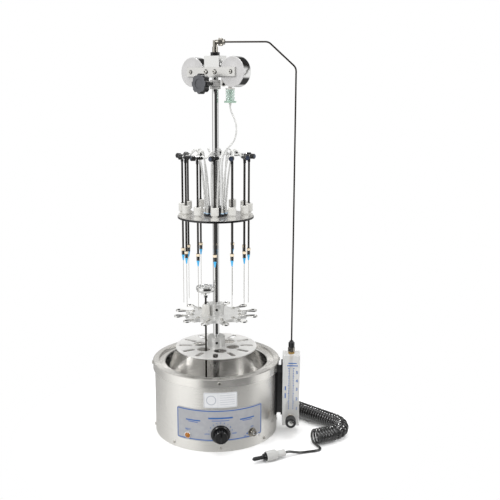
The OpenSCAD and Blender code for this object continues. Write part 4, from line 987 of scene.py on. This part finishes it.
def build_tubing():
    up = Vector((0, 0, 1))
    for k in range(PLACES):
        az = place_az(k)
        aim = plan(az - VALVE_TURN)
        start = polar(NEEDLE_R, az, VALVE_Z) - (BARB_REACH + 0.3) * aim
        finish = polar(BARBS_R, az + HUB_SHIFT, HUB_TOP + 1.3)
        a, d = start - TUBING_D * aim, finish + TUBING_D * up
        b, c = a - 22 * aim + 20 * up, d + (VALVE_Z - HUB_TOP + 26) * up + 10 * plan(az + HUB_SHIFT)
        line = [start + 4 * aim, start + 2.4 * aim, start] + [bezier(a, b, c, d, i / 26) for i in range(27)]
        line += [finish, finish - 2 * up, finish - 4 * up]
        tubing_piece(
            f"loop_tube_{k + 1:02d}", line, ([2.15, 2.3, 1.85], [1.9, 2.2, 2.5]))
    top, low = Vector((28.5, -7.74, 669.7)), Vector((*CENTRE_BARB, HUB_TOP + 4.8))
    curve = [
        (28.6, -7.8, 661), (31, -8, 652), (36, -7.6, 641), (40, -7, 628), (40.5, -6.8, 615), (38, -6.4, 603),
        (33.5, -5.8, 593), (27, -4.8, 586), (21, -3.8, 580), (16.5, -3, 571), (13.8, -2.5, 559),
        *[(*CENTRE_BARB, z) for z in (545, 525, 500)],
    ]
    line = smooth_line([top, *curve, low], 5) + [low - 2.5 * up]
    tubing_piece("supply_tube", line, ([2.3, 2.2, 2], [1.8, 2.3]))
    nipple = [(0, 0.3), (2.9, 0.3), (2.9, -0.8), (1.75, -1.2), (1.75, -5.5), (1.2, -6), (0, -6)]
    turned_piece("drop_nipple", nipple, 20, move(top), "white", closed=False)


build_tubing()

# ---- bath: print, label, lamp, knob

INK_LIFT, PANEL_EDGE = 0.04, 2.6


def build_panel_print():
    """Print on the control panel: border, scale, words of use and plain rules for the maker's words."""
    half = PANEL_R * radians(PANEL_HALF) - PANEL_EDGE
    p = Print(on_cylinder(PANEL_R + INK_LIFT))
    p.frame(-half, PANEL_Z + PANEL_EDGE, half, PANEL_Z + PANEL_H - PANEL_EDGE, 1.2, 1.9)
    for i in range(9):
        a = radians(-72 + 18 * i)
        x, y = sin(a), cos(a)
        p.text(str(i + 1), 24 * x, KNOB_Z + 24 * y, 4.2)
        p.stroke(19.6 * x, KNOB_Z + 19.6 * y, 21 * x, KNOB_Z + 21 * y, 0.45)
    side = PANEL_R * radians(29.5)
    p.text("LOW", -26.5, KNOB_Z + 0.6, 4.2)
    p.text("HIGH", 27, KNOB_Z + 0.6, 4.2)
    p.text("HEAT", -side, SWITCH_Z + 12, 4.8)
    p.text("ON", side, SWITCH_Z + 12, 4.4)
    p.text("OFF", side - 16, SWITCH_Z - 4.4, 3.2)
    p.dot(side - 11.5, SWITCH_Z, 1.7)
    p.stroke(side + 11, SWITCH_Z - 1.3, side + 11, SWITCH_Z + 1.3, 0.6)
    for x, width in ((-55, 30), (55, 32)):
        p.stroke(x - width / 2, 64.5, x + width / 2, 64.5, 2.6)
        p.stroke(x - width / 3, 61.4, x + width / 3, 60.6, 1.4)
    p.stroke(-24, 70.8, 24, 70.8, 3.2)
    p.stroke(-17, 65.4, 17, 65.4, 1.3)
    p.shape.make("panel_print", "blue", "root", False)


LABEL_X, LABEL_LOW, LABEL_HIGH, LABEL_CORNER = 33, 92, 123, 1.6
LABEL_IN, LABEL_OUT = HOUSING_R + 0.02, HOUSING_R + 0.42


def build_label():
    """A blank plate with plain ruling in the place of the photographed label, wrapped round the housing."""
    bend = [LABEL_CORNER * (1 - cos(radians(22.5 * i))) for i in range(5)]
    flat = LABEL_X - LABEL_CORNER
    columns = [b - LABEL_X for b in bend] + [flat * (i / 9 - 1) for i in range(1, 18)]
    columns += [LABEL_X - b for b in reversed(bend)]
    inner, outer = on_cylinder(LABEL_IN), on_cylinder(LABEL_OUT)
    verts, faces = [], []
    for x in columns:
        d = max(0, abs(x) - flat)
        inset = LABEL_CORNER - sqrt(max(0, LABEL_CORNER**2 - d * d)) - 0.01
        low, high = LABEL_LOW + inset, LABEL_HIGH - inset
        verts += [inner(x, low), outer(x, low), outer(x, high), inner(x, high)]
    last = len(verts) - 4
    for i in range(0, last, 4):
        faces += band(4, i, i + 4)
    faces += [(3, 2, 1, 0), (last, last + 1, last + 2, last + 3)]
    mesh_object("blank_plate", verts, faces, "label", "root", True, "white_plastic")
    p = Print(on_cylinder(LABEL_OUT + INK_LIFT))
    p.frame(-31.4, LABEL_LOW + 1.6, 31.4, LABEL_HIGH - 1.6, 1, 0.6)
    p.stroke(-5, LABEL_LOW + 2, -5, LABEL_HIGH - 2, 0.4)
    for i in range(5):
        p.stroke(-1.5, 98.5 + 4.6 * i, 28, 98.5 + 4.6 * i, 0.8)
    p.ring(-18.2, (LABEL_LOW + LABEL_HIGH) / 2, 9, 1.6)
    p.shape.make("plate_ruling", "grey_ink", "root", False)


def build_rim_socket_shade():
    """Near-black hexagon discs at the bottoms of the rim's screw-head sockets: painted shade in the recesses.
    """
    dark = Shape()
    for i in range(4):
        dark.add(*slab(hexagon(1.66), 1.44, 1.6), outward(-91 + 90 * i, RIM_TOP - 7.5, RIM_R))
    dark.make("rim_screw_sockets", "shade_and_seam")


def build_panel_details():
    knob = outward(-90, KNOB_Z, KNOB_SEAT)
    ridge = block((21, 3.4, 1.5), 0.7, (-1, 0, KNOB_L + 0.45))
    Shape().add(*ridge, knob).make("knob_ridge", "black_gloss", "heat")
    washer = [(17.7, -0.25), (19.2, -0.25), (19.2, 0.1), (18.4, 0.15), (17.7, 0.1)]
    turned_piece("knob_washer", washer, 64, knob, "black_grain")
    lamp = outward(LAMP_AZ, SWITCH_Z, PANEL_R + 0.15)
    rings, threads = Shape(), Shape()
    for r, z in ((1.5, 2.4), (2.7, 2.15), (3.9, 1.7)):
        rings.turn(ring_profile(r, z, 0.32), 32, lamp)
    rings.make("lamp_rings", "amber")
    bezel = [(5.3, 0.95), (6.6, 0.95), (6.9, 1.25), (6.6, 1.75), (5.6, 1.9), (5.3, 1.6)]
    turned_piece("lamp_bezel", bezel, 40, lamp, "chrome")
    bush = outward(TOGGLE_AZ, SWITCH_Z, PANEL_R)
    for i in range(5):
        threads.turn(ring_profile(6.02, 2.75 + 1.1 * i, 0.26, 6), 40, bush)
    threads.make("toggle_threads", "nickel")
    washer = [(6.1, 0.2), (9.2, 0.2), (9.2, 0.5), (8.9, 0.7), (6.1, 0.7)]
    turned_piece("toggle_washer", washer, 40, bush, "nickel")


build_panel_print()
build_label()
build_rim_socket_shade()
build_panel_details()

# ---- thermometer dial

DIAL_START, DIAL_SWEEP, DIAL_MARKS, DIAL_READING = 225, 270, 50, 160


def build_dial():
    at = move(polar(THERMO_R, THERMO_AZ, DIAL_TOP - 0.96)) @ spin(-3)
    turned_piece("dial_face", [(0, 0.1), (16.9, 0.1), (16.9, 0), (0, 0)], 64, at, "dial", "thermo", False)
    p = Print(on_frame(at, 0.14))
    for i in range(DIAL_MARKS + 1):
        a = radians(DIAL_START - DIAL_SWEEP * i / DIAL_MARKS)
        x, y = cos(a), sin(a)
        r, width = (13.8, 0.4) if i % 5 else (12.6, 0.7)
        p.stroke(r * x, r * y, 15.6 * x, 15.6 * y, width, 9)
    for i in range(6):
        a = radians(DIAL_START - DIAL_SWEEP * i / 5)
        p.text(str(20 * i), 9.9 * cos(a), 9.9 * sin(a), 3.6)
    p.ring(0, 0, 16.1, 0.3)
    p.shape.make("dial_print", "grey_ink", "thermo", False)
    hand = slab([(-4, -0.8), (12.6, -0.18), (12.6, 0.18), (-4, 0.8)], 0.24, 0.42)
    needle = Shape().add(*hand, at @ spin(DIAL_READING))
    needle.turn([(0, 0.2), (1.5, 0.2), (1.5, 0.55), (1.1, 0.72), (0, 0.76)], 24, at, False)
    needle.make("dial_needle", "black_ink", "thermo")
    bezel = [(16.6, 0.7), (17.3, 0.3), (18.6, 1), (18.9, 1.3), (18.4, 1.55), (17.3, 1.5)]
    turned_piece("dial_bezel", bezel, 64, at, "dial_case", "thermo")
    glass = [(0, 0.86), (16.9, 0.86), (16.9, 1.1), (0, 1.16)]
    turned_piece("dial_glass", glass, 64, at, "dial_glass", "thermo", False)


build_dial()

# ---- head

FLANGE_PROFILE = [
    (4.5, 0), (4.5, 0.42), (8.2, 0.42), (8.5, 0.25), (25.6, 0.25), (26.2, 0.38), (27.6, 0.38),
    (28.15, 0.15), (28.3, -0.2), (28.3, -1.7), (28.04, -1.7), (28.04, -0.4), (25.8, 0.02),
]
# place on the bar, radius and height of each screw
BAR_SCREWS = ((-50, 3.5, 3), (-11, 4, 4), (11, 4, 4), (50, 3.5, 3))


def build_head():
    for side, word in ((-1, "left"), (1, "right")):
        both = Shape()
        for face in (-1, 1):
            at = head_frame(side * DRUM_X, face * 10.5, DRUM_Z) @ spin(-90 * face, "X")
            both.turn(FLANGE_PROFILE, 96, at)
        both.make(f"{word}_drum_flange", "drum", f"drum_{word}")
    port = frame_of(head_frame() @ Vector((15, 6.5, PORT_Z)), (0.1, -1, 0), (0, 0, 1))
    collar = [(0, 3.4), (2.9, 3.4), (3, 4.6), (4.2, 4.8), (4.5, 4.4), (4.5, 0), (0, 0)]
    turned_piece("elbow_port", collar, 32, port, "white", closed=False)
    plug = [(0, 3.9), (2.2, 3.9), (2.85, 3.7), (2.85, 3.45), (0, 3.45)]
    turned_piece("elbow_plug", plug, 24, port, "black", closed=False)
    sockets, seams = Shape(), Shape()
    for way in (0, 180):
        for x, r, h in BAR_SCREWS:
            sunk = -0.55 * h - 0.06
            place = spin(HEAD_AZ + way) @ move((x, sunk - 15, DRUM_Z)) @ spin(90, "X")
            # Near-black hexagon at the bottom of each head's socket: painted shade in the recess.
            sockets.add(*slab(hexagon(0.41 * r), 0, 0.05), place)
            # A thin near-black ring, flush on the bar round each head's base: painted shade where the head
            # meets the bar.
            washer = [(r * 0.98, sunk), (r + 0.9, sunk), (r + 0.9, -0.5 * h), (r * 0.98, -0.42 * h)]
            sockets.turn(washer, 32, place)
    sockets.make("bar_socket_shade", "shade_and_seam")
    for z in (4.6, 12.6):
        seam = [(10.4, z), (10.62, z + 0.1), (10.62, z + 0.5), (10.4, z + 0.6)]
        seams.turn(seam, 48, move((0, 0, BLOCK_Z - 22.3)))
    seams.make("collar_rings", "shade_and_seam")


build_head()

# ---- manifold details


def build_manifold_details():
    rings, caps = Shape(), Shape()
    base = [(2.62, 0.1), (3.5, 0.1), (3.5, 1.3), (3.1, 1.7), (2.62, 1.7)]
    for k in range(PLACES):
        collar = move(polar(NEEDLE_R, place_az(k), DISK_TOP))
        barb = move(polar(BARBS_R, place_az(k) + HUB_SHIFT, DISK_TOP + 5))
        rings.turn(ring_profile(2.9, COLLAR_H + 0.35, 0.55), 24, collar)
        caps.turn(base, 20, barb)
    rings.make("collar_orings", "rubber", "manifold")
    caps.make("barb_bases", "pale_blue", "manifold")
    for k in range(PLACES):
        luer, axis = Shape(), move(polar(NEEDLE_R, place_az(k)))
        for z in (8.2, 1, 4.3):
            luer.turn(ring_profile(3.25, LUER_LOW + z, 0.32), 24, axis)
        luer.make(f"luer_rings_{k + 1:02d}", "luer", f"gas_needle_{k + 1:02d}")


build_manifold_details()

# ---- flowmeter

SCALE_LOW, SCALE_HIGH, SCALE_STEPS = 54, 141, 24


def build_flowmeter():
    front = METER @ frame_of((0, -METER_D / 2, 0), (0, -1, 0), (1, 0, 0))
    p = Print(on_frame(front, 0.05))
    for i in range(SCALE_STEPS + 1):
        z = SCALE_LOW + (SCALE_HIGH - SCALE_LOW) * i / SCALE_STEPS
        end = 6.4 if i % 5 == 4 else 5.4
        p.stroke(-end, z, -3.4, z, 1.8, 9)
        p.stroke(3.6, z, end, z, 1.8, 9)
    for i, z in enumerate((54, 75, 96, 114, 132)):
        p.text(str(i + 1), 11.6, z, 8.6)
    for z, width in ((151.8, 17), (146.6, 22)):
        p.stroke(2.5 - width / 2, z, 2.5 + width / 2, z, 2.2)
    for z, length in ((82, 11), (98, 9)):
        p.stroke(-11.6, z - length / 2, -11.6, z + length / 2, 2.4)
    p.shape.make("meter_print", "blue", "root", False)
    bore = [(3.95, 63.3), (3.95, 157.8), (3.55, 157.8), (3.55, 63.3)]
    turned_piece("gauge_tube", bore, 32, METER, "gauge")
    ends = Shape()
    for z in (60.4, 158.1):
        ends.turn([(0, z), (3.9, z), (3.9, z + 2.4), (0, z + 2.4)], 24, METER, False)
    top_ring = frame_of((0, 0, METER_TOP - 5), (0, 0, 1))
    ends.turn([(4.2, -2.4), (5.6, -2.4), (5.6, 4.6), (4.2, 4.6)], 32, METER @ top_ring)
    ends.make("gauge_seals", "brass")
    knob = METER @ frame_of((0, -METER_D / 2 - 8, METER_Z + 16), (0, -1, 0), (0, 0, 1))
    cap = [(0, 18.4), (4.4, 18.4), (5.4, 18), (5.6, 17.45), (0, 17.45)]
    turned_piece("flow_knob_cap", cap, 40, knob, "cap", "flow", False)
    screws = Shape()
    side = METER @ frame_of((-METER_W / 2 - 3.4, 0, 0), (-1, 0, 0), (0, 0, 1))
    for z in (52, 128):
        head = [(0, 0), (3.2, 0), (3.2, 1.2), (2.2, 1.9), (0, 2.1)]
        screws.turn(head, 24, side @ move((z, 0, 0)), False)
    screws.make("bracket_screws", "screw")


def build_bracket_web():
    """The bent sheet between the housing and the meter's side plate."""
    front, web = METER @ Vector((-METER_W / 2 - 1.6, -13, 0)), Shape()
    for r, low, high in ((HOUSING_R + 1.6, 44, 132), (RIM_R + 0.6, 131, 147)):
        inner = polar(r, -21.5)
        along, mid = front - inner, (front + inner) / 2
        at = frame_of((mid.x, mid.y, (low + high) / 2), (0, 0, 1), along)
        web.add(*block((along.length + 1.5, 2.4, high - low), 0.5), at)
    web.make("bracket_web", "paint")


build_flowmeter()
build_bracket_web()

# ---- spring clips

CLIP_TIP, CLIP_TIP_R, CLIP_ROOT_R, CLIP_T, CLIP_H = 80, 7, 1.5, 0.6, 2.8
CLIP_ROOT, CLIP_SCREW = HOLDER_EDGE + CLIP_ROOT_R + 0.2, HOLDER_EDGE - 14


def arc_points(x, r, start, end, n):
    turns = [radians(start + (end - start) * i / n) for i in range(n + 1)]
    return [(x + r * cos(a), r * sin(a)) for a in turns]


def teardrop(inset):
    """Outline of a clip's loop: a small round at its root, a large one at its tip."""
    root_r, tip_r = CLIP_ROOT_R - inset, CLIP_TIP_R - inset
    lean = degrees(asin((tip_r - root_r) / (CLIP_TIP - CLIP_ROOT)))
    tip = arc_points(CLIP_TIP, tip_r, -90 - lean, 90 + lean, 20)
    return tip + arc_points(CLIP_ROOT, root_r, 90 + lean, 270 - lean, 6)


def build_clips():
    """Each clip is one strip of spring steel bent into a loop, its tab screwed down on a tooth."""
    ribbons, screws = Shape(), Shape()
    levels = (HOLDER_TOP + 1 - CLIP_H, HOLDER_TOP + 1)
    verts = [(x, y, z) for inset in (0, CLIP_T) for z in levels for x, y in teardrop(inset)]
    n = len(verts) // 4
    walls = zip(band(n, 0, n), band(n, 3 * n, 2 * n), band(n, n, 3 * n), band(n, 2 * n, 0))
    faces = [face for four in walls for face in four]
    tab_at = ((CLIP_SCREW + CLIP_ROOT - 4.6) / 2, 0, HOLDER_TOP + CLIP_T / 2 + 0.02)
    tab = block((CLIP_ROOT - CLIP_SCREW + 3.2, 5, CLIP_T), 0.15, tab_at)
    head = [(0, 0), (3.2, 0), (3.2, 0.9), (2.5, 1.8), (1.35, 2), (1.35, 1.2), (0, 1.2)]
    for k in range(PLACES):
        turn = spin(place_az(k) + 180 / PLACES)
        ribbons.add(verts, faces, turn).add(*tab, turn)
        screws.turn(head, 24, turn @ move((CLIP_SCREW, 0, HOLDER_TOP + CLIP_T + 0.05)), False)
    clips = ribbons.make("spring_clips", "clip", "holder", slot="spring_steel")
    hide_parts("holder_clips")
    screws.make("clip_screws", "screw", "holder")


build_clips()

# ---- hose ends


def build_hose_ends():
    ferrule = [(2.45, -2.6), (3.9, -2.6), (4.1, -2.2), (4.1, 3.4), (3.5, 4.6), (2.8, 5.4), (2.45, 5.4)]
    turned_piece("hose_ferrule", ferrule, 24, frame_of(HOSE_START, METER_BACK, (0, 0, 1)), "black")
    grips, collars = Shape(), Shape()
    middle = (PLUG_D / 2 + 0.02, 0, PLUG_SMALL + 2 + (PLUG_LARGE - 3) / 2)
    rib = block((0.5, 1.1, PLUG_LARGE - 7), 0.2, middle)
    for i in range(24):
        grips.add(*rib, PLUG @ spin(15 * i))
    grips.make("plug_grips", "plug")
    for z in (2.2, PLUG_SMALL - 2.2):
        collars.turn(ring_profile(PLUG_D / 3, z, 0.35), 40, PLUG)
    collars.make("plug_rings", "plug")
    tip, root = PLUG_L - 1.2, PLUG_SPLIT + 5.2
    sleeve = [
        (2.75, root), (3.7, root), (3.7, root + 6), (3.3, root + 6.6), (3.3, root + 8), (3.7, root + 8.6),
        (3.7, tip - 2), (2.9, tip - 0.4), (2.75, tip - 0.4),
    ]
    turned_piece("pin_sleeve", sleeve, 32, PLUG, "rubber")


build_hose_ends()
